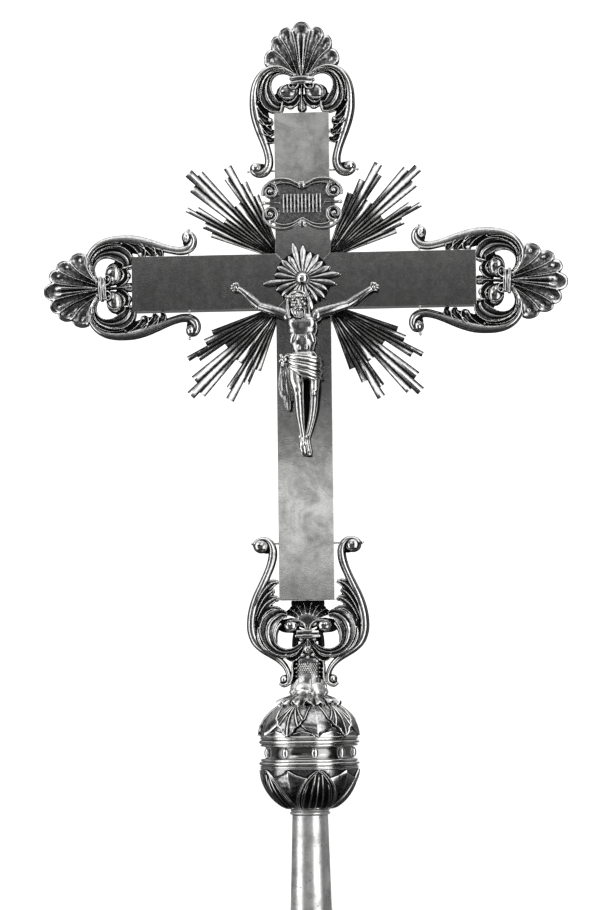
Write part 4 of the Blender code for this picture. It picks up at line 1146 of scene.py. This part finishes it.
def ruffle(angle, radius, height):
    """Fourteen broad leaves whose edges rise and fall, with veins."""
    t = np.clip((radius - 14) / 13, 0, 1)
    leaf = np.abs(near(angle, 4, 360 / 14)) * 14 / 180
    turn = np.radians(angle)
    push = t**2 * (1.4 - 3.2 * leaf**2.5 + 0.5 * np.sin(5 * turn + 1.0))
    waves = 1.6 * np.cos(14 * turn) + 0.9 * np.sin(9 * turn + 0.6) + 0.35 * np.cos(42 * turn)
    return push, t**2 * waves - 0.9 * leaf**3 * t


def quarter(radius, semi, low, high, level, count):
    """Part of a sphere-like bowl with its widest circle at the level."""
    z = np.linspace(low, high, count)
    return np.column_stack([radius * np.sqrt(np.clip(1 - ((z - level) / semi) ** 2, 0.01, 1)), z])


def ring_loop(rows, inner=9):
    """Closes a moulding, given from its bottom to its top, along an inner radius."""
    rows = [tuple(row) for row in rows]
    return rows + [(inner, rows[-1][1]), (inner, rows[0][1])]


def beaded(low, high, radius, thickness):
    """Half-round moulding between two heights."""
    middle, half = (low + high) / 2, (high - low) / 2
    angles = np.linspace(-np.pi / 2, np.pi / 2, 12)
    return [(radius - thickness + thickness * math.cos(a), middle + half * math.sin(a)) for a in angles]


def ring_of_beads(node, beads):
    """A ring of half-round mouldings, each (start and end in tenths of the height, radius, thickness)."""
    low, high = heights(node)
    tenth = (high - low) / 10
    rows = []
    for start, end, radius, thickness in beads:
        rows += beaded(low + start * tenth, low + end * tenth, radius, thickness)
    return ring_loop(rows)


DRUM_RADIUS = 38.0


def drum_loop():
    low, high = heights("knop_drum")
    shares = [k / 24 for k in range(25)]
    hollow = [1.5 * math.sin(math.pi * t) ** 0.8 for t in shares]
    return ring_loop([(DRUM_RADIUS - deep, low + (high - low) * t) for deep, t in zip(hollow, shares)])


def calyx_loop():
    low, high = heights("knop_calyx")
    over = [(24.6, low + 1.0), (26.9, low + 2.2), (24.0, low + 5.2), (18.4, high - 2.4), (14.6, high - 0.4)]
    under = [(13.4, high), (12, high - 1.6), (18, high - 5.4), (23.6, low + 2.2)]
    return np.concatenate([profile(over, 70), profile(under, 40)])


def stud_forms():
    """Nine upright studs round the drum."""
    stud = ball(0, 0, 0, 2.9, 2.2, 4.4, around=28, rings=19)
    level = centre("knop_drum")[2]
    out = Matrix.Translation((0, -DRUM_RADIUS, level))
    return [moved(stud, turned(11.8 + 40 * k, "Z") @ out) for k in range(9)]


def build_knop():
    lower = quarter(LOWER_RADIUS, LOWER_HIGH - LOWER_LOW + 5.6, LOWER_LOW, LOWER_HIGH, LOWER_HIGH + 0.4, 150)
    upper = quarter(UPPER_RADIUS, UPPER_HIGH - UPPER_LOW + 2.2, UPPER_LOW, UPPER_HIGH, UPPER_LOW, 150)
    upper_ring = ((0, 2.4, 42.0, 1.6), (2.6, 7, 43.2, 2.4), (7.4, 10, 42.2, 1.4))
    lower_ring = ((0, 2.2, 42.4, 1.5), (2.6, 6.8, 43.2, 2.4), (7.2, 10, 41.8, 1.6))
    for node, loop, relief, steps, kind in (
        ("knop_lower_bowl", ring_loop(lower), lower_leaves, 620, "cast"),
        ("knop_upper_bowl", ring_loop(upper), upper_leaves, 620, "cast"),
        ("knop_upper_ring", ring_of_beads("knop_upper_ring", upper_ring), None, 240, "turned"),
        ("knop_lower_ring", ring_of_beads("knop_lower_ring", lower_ring), None, 240, "turned"),
        ("knop_drum", drum_loop(), None, 240, "drum"),
        ("knop_calyx", calyx_loop(), ruffle, 480, "cast"),
    ):
        mesh = revolved(loop, steps, relief, node)
        add_patina(mesh, *((9, 0.2) if kind == "cast" else (2, 0.22)))
        # The lower bowl is painted darker towards its foot: painted shade.
        if node == "knop_lower_bowl":
            tarnish_and_shade(mesh, LOWER_LOW, LOWER_HIGH, 0.34)
        cast(mesh, node, None, kind)
    placed(mesh_of(joined(stud_forms()), "studs"), "knop_studs", material["polished"])


def build_socket():
    low, high = heights("staff_socket")
    wall, taper = 1.6, 2.4
    outer = [(17.1, low), (17.55, low + 0.3), (17.65, low + 1.0)]
    outer += [(17.7 - taper * (z - low) / (high - low), z) for z in np.linspace(low + 2, high - 1, 60)]
    inner = [(r - wall, z) for r, z in reversed(outer[3:])]
    tube = revolved(outer + [(15.2, high), (13.8, high)] + inner + [(16.4, low)], 200)
    add_patina(tube, 2, 0.3)
    cast(tube, "staff_socket", None, "tube", "_tube")
    low, high = heights("socket_collar")
    beads = beaded(low + 7.0, low + 9.6, 17.4, 1.6) + beaded(low + 9.8, high, 16.8, 1.4)
    collar = revolved(ring_loop([(14.4, low), (14.4, low + 5.8)] + beads, 6), 200)
    add_patina(collar, 2, 0.2)
    cast(collar, "socket_collar", None, "tube", "_ring")


build_knop()
build_socket()


# ---------------------------------------------------------------- sheets, core and fixings


def from_cad(node, kind, bevel, segments=3):
    """The CAD piece with its edges broken, and its flat faces cleaned of cut marks."""
    mesh = frame["nodes"][node].data.copy()
    mesh.attributes.remove(mesh.attributes["custom_normal"])
    tool = bmesh.new()
    tool.from_mesh(mesh)
    bmesh.ops.remove_doubles(tool, verts=tool.verts, dist=0.000002)
    bmesh.ops.dissolve_limit(tool, angle_limit=math.radians(0.8), verts=tool.verts, edges=tool.edges)
    tool.to_mesh(mesh)
    tool.free()
    piece = bpy.data.objects.new(node + "_sheet", mesh)
    bpy.context.scene.collection.objects.link(piece)
    edge = piece.modifiers.new("edge", "BEVEL")
    edge.width = bevel * MM
    edge.segments = segments
    edge.limit_method = "ANGLE"
    edge.angle_limit = math.radians(28)
    edge.harden_normals = False
    mesh = bpy.data.meshes.new_from_object(piece.evaluated_get(bpy.context.evaluated_depsgraph_get()))
    bpy.data.objects.remove(piece)
    set_patina_and_shade(mesh, np.zeros(len(mesh.vertices)))
    piece = cast(mesh, node, None, kind, "_finished")
    piece.data.set_sharp_from_angle(angle=math.radians(32))
    for face in piece.data.polygons:
        face.use_smooth = face.area < (2 * MM) ** 2
    return piece


PIN_RADIUS = 0.9


def pin_form(node, head):
    """A pin with domed heads, along the longest side of its box."""
    low, high = corners(node)
    axis = int(np.argmax(high - low))
    start, end = (low + high) / 2, (low + high) / 2
    start[axis], end[axis] = low[axis], high[axis]
    ends = [ball(*place, head, head, head, around=20, rings=13) for place in (start, end)]
    return joined([limb([(*start, PIN_RADIUS), (*end, PIN_RADIUS)], 18, 3.0)] + ends)


# The front fixings, with the radius of their heads.
HEADS = {
    "title_rivet_top": 3.4, "title_rivet_bottom": 3.4, "nimbus_boss": 5.2, "nail_left_hand": 1.7,
    "nail_right_hand": 1.7, "nail_feet": 2.1,
}


def build_fixings():
    for name in ("top", "left", "right", "lower"):
        node = f"{name}_through_pin"
        cast(mesh_of(pin_form(node, 1.35), "pin"), node, None, "polished", "_turned")
    for node, size in HEADS.items():
        low, high = corners(node)
        x, z = (low[0] + high[0]) / 2, (low[2] + high[2]) / 2
        forms = [
            limb([(x, high[1], z, PIN_RADIUS), (x, low[1] + size * 0.5, z, PIN_RADIUS)], 18, 1.0),
            ball(x, low[1] + size * 0.72, z, size, size * 0.8, size, around=40, rings=21),
        ]
        petalled = node.startswith("title")
        for k in range(6 if petalled else 0):
            a = k * math.pi / 3
            across, up = size * 0.66 * math.cos(a), size * 0.66 * math.sin(a)
            forms.append(ball(x + across, low[1] + size * 0.36, z + up, 1.1, 1.0, 1.1))
        kind = "cast" if petalled else "polished"
        cast(melted(forms, 0.22, node, 1, (6, 0.2)), node, None, kind)


def build_sheets():
    for name in ("top", "left", "right", "lower"):
        from_cad(f"sheath_{name}", "sheet", 0.45)
    from_cad("back_sheet", "sheet", 0.3, 2)
    for node in ("core_crossbar", "core_upright"):
        from_cad(node, "wood", 0.5, 2)
    for node in ("tie_rod", "tie_rod_nut"):
        from_cad(node, "steel", 0.2, 2)


build_fixings()
build_sheets()


# ---------------------------------------------------------------- corpus


def face_forms():
    """A calm, plain face with closed eyes, on general proportions: the eyes about halfway up the head, and
    the mouth about a third of the way from the nose to the chin."""
    skull = ball(0, 0.8, 2.2, 7.6, 8.8, 8.4, around=32, rings=19)
    jaw = ball(0, -2.4, -4.0, 5.3, 6.0, 6.8, around=28, rings=17)
    chin = ball(0, -6.4, -8.4, 2.3, 2.0, 1.9)
    nose = limb([(0, -8.2, 3.2, 0.8), (0, -9.2, 0.6, 0.95), (0, -10.1, -1.3, 1.2)], 12, 0.4)
    nostrils = ball(0, -9.5, -1.8, 1.55, 1.0, 0.85)
    upper_lip = [
        (-2.3, -7.9, -4.3, 0.4), (-0.8, -8.8, -4.0, 0.62), (0.8, -8.8, -4.0, 0.62), (2.3, -7.9, -4.3, 0.4),
    ]
    lower_lip = [(-1.9, -7.8, -4.9, 0.4), (0, -8.6, -5.3, 0.78), (1.9, -7.8, -4.9, 0.4)]
    brow = [(0.4, -8.3, 3.2, 0.7), (2.4, -8.3, 3.9, 0.8), (4.6, -7.0, 3.5, 0.75), (6.2, -4.8, 2.4, 0.6)]
    eye = ball(2.9, -7.0, 1.3, 1.7, 1.25, 1.05)
    lashes = [(1.4, -7.9, 0.9, 0.26), (2.9, -8.35, 0.6, 0.34), (4.5, -7.4, 0.9, 0.26)]
    cheek = ball(4.2, -5.7, -1.2, 2.2, 2.0, 1.8)
    moustache = [(0.3, -9.0, -3.1, 0.6), (2.2, -8.4, -3.8, 0.7), (3.9, -6.8, -5.6, 0.5)]
    forms = [skull, jaw, chin, nose, nostrils, limb(upper_lip, 10, 0.4), limb(lower_lip, 10, 0.4)]
    half = [limb(brow, 12, 0.4), eye, limb(lashes, 8, 0.3), cheek, limb(moustache, 10, 0.4)]
    return forms + mirrored(half)


def hair_forms():
    """Locks of a short beard, and wavy hair that falls to the shoulders."""
    half = []
    for k in range(7):
        x, wave = 5.6 - 0.85 * k, 0.5 * math.sin(2.1 * k)
        half.append(limb([
            (x + 0.2, -3.6 - 0.55 * k, -4.2 - 0.2 * k, 0.9), (
                x * 0.9 + wave * 0.4, -4.6 - 0.5 * k, -7.8, 1.0,
            ),
            (x * 0.62 + wave, -5.2 - 0.35 * k, -11.4 - 0.2 * k, 0.55),
        ], 9, 0.5))
    for k in range(9):
        back, sway = k * 1.35, 0.9 * math.sin(1.7 * k + 0.6)
        half.append(limb([
            (0.7, -4.6 + back, 9.6 - 0.05 * back * back, 0.8),
            (4.6 + 0.1 * k, -4.8 + back, 8.2 - 0.06 * back * back, 1.15),
            (7.8, -3.6 + back, 3.2, 1.2), (8.2 + sway * 0.3, -2.2 + back * 0.8, -2.4, 1.25),
            (7.6 + sway, -2.4 + back * 0.7, -7.8, 1.2),
            (8.6 - sway * 0.5, -2.6 + back * 0.6, -12.4 + 0.3 * k, 0.7),
        ], 10, 0.5))
    return mirrored(half)


def crown_forms():
    """Three twisted strands round the head, and fourteen thorns."""
    forms = []
    for strand in range(3):
        ring = []
        for k in range(41):
            a = 2 * math.pi * k / 40
            twist = 9 * a + strand * 2.1
            r = 1 + 0.07 * math.cos(twist)
            level = 5.2 + 0.8 * math.sin(twist) + 0.9 * math.cos(a)
            ring.append((8.8 * r * math.sin(a), 0.4 - 9.8 * r * math.cos(a), level, 0.6))
        forms.append(limb(ring, 8, 0.6))
    for k in range(14):
        a = 2 * math.pi * (k + 0.4) / 14
        root = (8.8 * math.sin(a), 0.4 - 9.8 * math.cos(a), 5.6, 0.42)
        tip = (10.6 * math.sin(a + 0.08), 0.4 - 11.4 * math.cos(a + 0.08), 7.2 if k % 2 else 5.6, 0.16)
        forms.append(limb([root, tip], 6, 0.5))
    return forms


def drape(levels, x, rx, ry, y, radius, sag, start=-80, end=84):
    """A fold of cloth that runs round the front of the hips, from one height to another."""
    rows = []
    for k in range(15):
        share = k / 14
        a = math.radians(start + (end - start) * share)
        z = levels[0] + (levels[1] - levels[0]) * share - sag * math.sin(math.pi * share)
        rows.append((
            x + rx * math.sin(a), y - ry * math.cos(a), z, radius * (0.7 + 0.4 * math.sin(math.pi * share)),
        ))
    return limb(rows, 10, 0.7)


def torso_forms():
    """Ribcage, belly, hips and neck, with the muscles of each side."""
    forms = [
        ball(-0.2, -20.8, 500.0, 12.8, 7.2, 14.0, around=40, rings=23),
        ball(0.0, -21.0, 487.0, 10.4, 6.8, 15.0, around=40, rings=23),
        ball(0.8, -20.8, 471, 12.0, 7.6, 10.6, around=40, rings=23),
        limb([(-1.6, -20.5, 505, 6.6), (-2.4, -20.8, 512, 4.8), (-3.0, -21.6, 516, 4.4)], 20, 0.8),
    ]
    for side in (-1, 1):
        forms += [
            ball(side * 5.9 - 0.2, -23.2, 502.6, 6.4, 4.6, 6.2, (0, side * 18, 0), 28, 17),
            ball(side * 12.4 - 0.2, -20.8, 509.6, 5.0, 5.0, 6.2, (0, side * 24, 0), around=28, rings=17),
            ball(side * 7.2, -22.6, 491.0, 3.6, 4.6, 7.4, (0, side * -22, 0), 28, 17),
            ball(side * 2.9 + 0.1, -24.2, 489.6, 2.7, 3.8, 4.0, around=24, rings=15),
            ball(side * 3.0 + 0.3, -24.2, 482.0, 2.8, 3.7, 4.2, around=24, rings=15),
            ball(side * 2.8 + 0.6, -24.0, 473.6, 3.0, 3.4, 5.2, around=24, rings=15),
        ]
    return forms


def leg_forms():
    """Two legs with the feet crossed, one over the other."""
    left = [
        (-6.4, -20.6, 464, 7.8), (-5.9, -26.0, 453, 6.8), (-3.8, -30.4, 444.6, 4.9), (-3.4, -30.4, 439, 4.2),
        (-3.2, -27.0, 430, 4.1), (-2.8, -24.4, 422, 3.5), (-1.5, -20.4, 410, 2.6), (-0.8, -19.0, 403.5, 2.7),
    ]
    right = [
        (8.6, -20.6, 464, 6.4), (9.9, -24.6, 453, 4.5), (9.9, -27.4, 444.6, 3.8), (9.6, -27.0, 439, 3.4),
        (8.8, -24.2, 430, 3.3), (7.2, -21.6, 421, 2.8), (3.8, -18.0, 409, 2.3), (1.8, -16.6, 403, 2.4),
    ]
    # A thin web near the plate between the legs, painted black as the shade in the gap: (x, z, half width,
    # half depth, y).
    shade_web = [
        (2.2, 460, 5.0, 1.0, -15.6), (2.8, 448, 4.6, 1.0, -15.6), (2.6, 434, 4.2, 1.0, -15.6),
        (1.9, 420, 3.0, 1.0, -15.4), (1.0, 409, 1.6, 1.0, -15.2),
    ]
    forms = [limb(left, 18, 0.8), limb(right, 18, 0.8), ribbon(shade_web, rounded, 15, 0.9, 1)]
    for knee in (left[3], right[3]):
        forms.append(ball(knee[0], knee[1] - 2.9, knee[2] + 2.8, 2.5, 2.2, 2.9, around=24, rings=15))
    over = [
        (-0.8, -19.4, 404, 2.9), (-1.0, -21.4, 399.6, 3.2), (-0.4, -21.6, 394.6, 3.6),
        (0.8, -20.4, 390.6, 2.9),
    ]
    under = [
        (1.8, -16.6, 403, 2.6), (2.4, -17.4, 397, 2.9), (3.2, -17.2, 392.4, 3.0), (3.8, -16.4, 389.6, 2.2),
    ]
    forms += [limb(over, 16, 0.6), limb(under, 16, 0.6)]
    for k in range(5):  # toes
        x, size = -2.6 + 1.55 * k, 1.25 if k == 4 else 0.85
        tip = (x * 1.08 + 0.9, -21.0, 388.6 + 0.35 * abs(k - 3), size * 0.9)
        forms.append(limb([(x + 0.4, -21.2, 391.4, size), tip], 10, 0.4))
    forms += [ball(-3.3, -19.6, 405.4, 1.5, 1.5, 1.6), ball(2.0, -19.6, 405.6, 1.3, 1.5, 1.6)]
    return forms


def cloth_forms():
    """A knotted cloth round the hips, whose end hangs beside the thigh."""
    forms = [
        ball(1.2, -20.6, 466.0, 14.8, 9.4, 8.6, around=40, rings=23),
        ball(6.0, -21.6, 460.4, 10.6, 8.6, 7.0, around=36, rings=21),
    ]
    # Each fold: its height on the left and on the right, its sag and its thickness.
    folds = (
        (
            476.4, 471.6, 0.2, 1.3,
        ), (475.0, 468.4, 0.6, 1.8), (473.4, 465.0, 1.2, 1.4), (471.8, 461.4, 1.6, 2.0),
        (469.8, 457.8, 1.6, 1.5), (467.4, 454.8, 1.2, 1.8),
    )
    for k, (left, right, sag, thick) in enumerate(folds):
        lift, end = 0.35 * k, 30 + 14 * (k % 3)
        forms.append(drape((left, right), 1.4, 14.6, 8.8 + lift, -20.8, thick, sag, -84, 74))
        forms.append(drape(
            (left - 0.2, right - 2.0), 1.4, 14.4, 8.9 + lift, -20.8, thick * 0.55, sag + 1.4, -66, end,
        ))
    knot = (-15.6, -25.6, 471.6)
    forms.append(ball(*knot, 3.0, 2.8, 2.8))
    for x, y, z, wide in (
        (-18.8, -27.0, 475.8, 1.5), (-19.8, -26.0, 469.4, 1.6), (-17.4, -27.4, 465.2, 1.5),
        (-12.6, -28.4, 475.0, 1.3),
    ):
        halfway = ((knot[0] + x) / 2 - 0.5, knot[1] - 1.6, (knot[2] + z) / 2, wide)
        forms.append(limb([(*knot, 1.6), halfway, (x, y, z, wide * 0.9)], 10, 0.5))
    for k, low in enumerate((436, 428, 431, 438)):  # pleats of the hanging end
        x = -12.6 - 2.0 * k
        pleat = [
            (x * 0.5 - 8.0, 468, 1.2, 1.8, -25.0), (x + 0.2, 459, 2.0, 2.5, -24.4),
            (x - 0.6, 450, 2.5, 2.8, -23.4 + 0.5 * (k % 2)), (x + 1.0, 441, 2.4, 2.7, -22.6),
            (x + 2.0, low, 1.5, 1.9, -22.0),
        ]
        forms.append(ribbon(pleat, fluted(1, 0.5), 11, 0.8, 1))
    return forms


def arm_forms(side, nail, shoulder, elbow):
    """An arm whose open hand lies round its nail, with the fingers a little curled."""
    x, _, z = centre(nail)
    y = corners(nail)[0][1] + 2.2
    wrist = (x - side * 4.4, y - 0.6, z - 2.4)
    upper = (
        shoulder[0] * 0.55 + elbow[0] * 0.45, shoulder[1] + 0.6, shoulder[2] * 0.55 + elbow[2] * 0.45, 4.7,
    )
    fore = (elbow[0] * 0.68 + wrist[0] * 0.32, elbow[1] + 0.8, elbow[2] * 0.68 + wrist[2] * 0.32, 3.8)
    thumb = [
        (x - side * 2.0, y - 0.6, z + 1.4, 0.95), (x - side * 1.4, y - 2.2, z + 3.4, 0.8),
        (x + side * 0.6, y - 2.4, z + 3.2, 0.65),
    ]
    forms = [
        limb([(*shoulder, 5.0), upper, (*elbow, 3.7)], 20, 0.7),
        limb([(*elbow, 3.7), fore, (*wrist, 2.3), (x - side * 2.2, y, z - 1.2, 2.4)], 20, 0.7),
        ball(x, y + 0.2, z, 3.6, 1.8, 3.3),
        limb(thumb, 10, 0.4),
    ]
    for k in range(4):  # fingers
        a = math.radians(64 - 40 * k)
        out = (x + side * 3.6 * math.cos(a), z + 3.3 * math.sin(a))
        forms.append(limb([
            (x + side * 2.0 * math.cos(a), y, z + 2.0 * math.sin(a), 0.95), (out[0], y - 0.9, out[1], 0.85),
            (out[0] - side * 0.3, y - 2.7, out[1], 0.78),
            (out[0] - side * 1.7, y - 3.1, out[1] - 0.6 * math.sin(a), 0.66),
        ], 10, 0.4))
    return forms


FIGURE_BACK, ARM_BACK = -19.2, -17.6  # the Y from which the painted shade sets in, towards the plate


def build_corpus():
    leaning = Matrix.Translation((-3.6, -25.2, 520.6)) @ turned(-5, "Y") @ turned(9, "Z") @ turned(14, "X")
    leaning = leaning @ Matrix.Diagonal((1.06, 1.0, 1.02, 1))
    head = [moved(form, leaning) for form in face_forms() + hair_forms() + crown_forms()]
    parts = (
        melted(torso_forms() + leg_forms(), 0.34, "skin", 9, (8, 0.3)),
        melted(cloth_forms(), 0.3, "cloth", 2, (8, 0.24)),
        melted(head, 0.22, "head", 2, (9, 0.24)),
    )
    # blacken_back paints shade on the backs of the figure and on what lies near the plate.
    figure = merged([blacken_back(part, FIGURE_BACK) for part in parts], "corpus")
    cast(figure, "corpus", None, "figure")
    for label, side, shoulder, elbow in (
        ("left", -1, (-12.8, -20.6, 510.4), (-37.4, -17.4, 518.6)),
        ("right", 1, (13.6, -20.6, 511.4), (38.6, -17.6, 518.6)),
    ):
        node = f"corpus_arm_{label}"
        arm = melted(arm_forms(side, f"nail_{label}_hand", shoulder, elbow), 0.28, node, 3, (8, 0.24))
        cast(blacken_back(arm, ARM_BACK), node, None, "cast")


build_corpus()


# ---------------------------------------------------------------- studio


def build_floor():
    bpy.ops.mesh.primitive_circle_add(vertices=96, radius=14, fill_type="NGON", location=(0, 0, -0.0005))
    floor = bpy.context.object
    floor.name = "floor"
    nodes = Nodes("pale_floor")
    nodes.finish((0.92, 0.92, 0.92, 1), 0.9, metallic=0.0)
    floor.data.materials.append(nodes.material)
    floor.visible_glossy = False


def build_world():
    """White to the eye and to the floor. In the silver it is a grey studio: darker in front, at eye level,
    with a tall light window on each side."""
    world = bpy.data.worlds.new("studio")
    bpy.context.scene.world = world
    world.use_nodes = True
    tree = world.node_tree
    tree.nodes.clear()
    add = NodeTree(tree).add

    def math_node(operation, a, b=0.0):
        return add("Math", {0: a, 1: b}, operation=operation).outputs[0]

    def step_up(value, level, soft):
        made = {"Value": value, "From Min": level - soft, "From Max": level + soft}
        return add("MapRange", made, interpolation_type="SMOOTHSTEP").outputs[0]

    def between(value, low, high, soft):
        """1 between low and high, with soft edges."""
        return math_node("SUBTRACT", step_up(value, low, soft), step_up(value, high, soft))

    towards = add("TexCoord").outputs["Generated"]
    split = add("SeparateXYZ", {0: towards})
    x, y, z = split.outputs
    azimuth = math_node("MULTIPLY", math_node("ARCTAN2", x, math_node("MULTIPLY", y, -1.0)), 180 / math.pi)
    elevation = math_node("MULTIPLY", math_node("ARCSINE", z), 180 / math.pi)

    # What the silver reflects, in degrees from the front (to the right) and from the horizon:
    # (azimuths), (elevations), softness of the edges, brightness.
    panels = (
        ((-82, -50), (-44, 46), 4, 1.95), ((24, 59), (-44, 46), 4, 2.0),  # tall windows, left and right
        ((-16, 6), (7.9, 14), 0.5, 0.43), ((-16, 6), (3.5, 7.9), 0.5, 0.02),  # wall behind the camera,
        ((-16, 6), (1.9, 3.5), 0.6, 0.92), ((-16, 6), (-4, 1.9), 0.6, 0.13),  # from its top to its foot
        ((-42, 24), (-50, -8), 3, 0.1), ((-42, 24), (18, 46), 3, 0.08),  # floor and upper wall in front
        ((-34, 16), (24, 34), 3, 0.7), ((-181, 181), (50, 95), 6, 1.5),  # lamp strip and ceiling
        ((166, 182), (-24, 18), 2, 1.0), ((-182, 182), (-92, -56), 6, 0.035),  # slit at the back, and floor
        ((98, 250), (-48, 20), 6, 0.12), ((-182, -98), (-48, 20), 6, 0.12),  # walls behind the cross
        ((110, 250), (20, 54), 10, 0.5), ((-181, -110), (20, 54), 10, 0.5),  # lamps above them
    )
    total = 0.015
    for azimuths, elevations, soft, brightness in panels:
        both = math_node("MULTIPLY", between(azimuth, *azimuths, soft), between(elevation, *elevations, soft))
        total = math_node("ADD", total, math_node("MULTIPLY", both, brightness))
    light_path = add("LightPath")
    seen = math_node("MAXIMUM", light_path.outputs["Is Camera Ray"], light_path.outputs["Is Diffuse Ray"])
    strength = add("Mix", {0: seen, 2: total, 3: 1.3}, data_type="FLOAT").outputs[0]
    background = add("Background", {"Color": (1, 1, 1, 1), "Strength": strength})
    output = add("OutputWorld")
    tree.links.new(background.outputs[0], output.inputs[0])


def build_lights():
    middle_of_cross = Vector((0, 0, 0.42))
    for name, place, size, watts in (("key", (-1.7, -1.9, 1.6), 0.8, 5), ("fill", (1.8, -2.0, 0.9), 0.7, 3)):
        light = bpy.data.lights.new(name, "AREA")
        light.energy = watts
        light.size = size
        lamp = bpy.data.objects.new(name, light)
        lamp.location = place
        lamp.rotation_euler = (middle_of_cross - lamp.location).to_track_quat("-Z", "Y").to_euler()
        bpy.context.scene.collection.objects.link(lamp)


def build_camera():
    """Below the middle of the cross, a little to its right, and turned a touch on its own axis."""
    distance, yaw, roll = 2.9, math.radians(5), math.radians(0.65)
    seen_height = PHOTO_HEIGHT * PIXEL * MM  # metres at the cross, from the view's lower to its upper edge
    aim = Vector((-0.0062, 0, 0.391))
    camera = bpy.data.cameras.new("camera")
    camera.sensor_width = 36
    camera.lens = camera.sensor_width * distance / seen_height
    eye = bpy.data.objects.new("camera", camera)
    eye.location = aim + Vector((math.sin(yaw) * distance, -math.cos(yaw) * distance, -0.187))
    facing = (aim - eye.location).to_track_quat("-Z", "Y").to_matrix()
    eye.rotation_euler = (facing @ Matrix.Rotation(-roll, 3, "Z")).to_euler()
    bpy.context.scene.collection.objects.link(eye)
    bpy.context.scene.camera = eye
    bpy.context.scene.view_settings.view_transform = "Standard"


build_floor()
build_world()
build_lights()
build_camera()
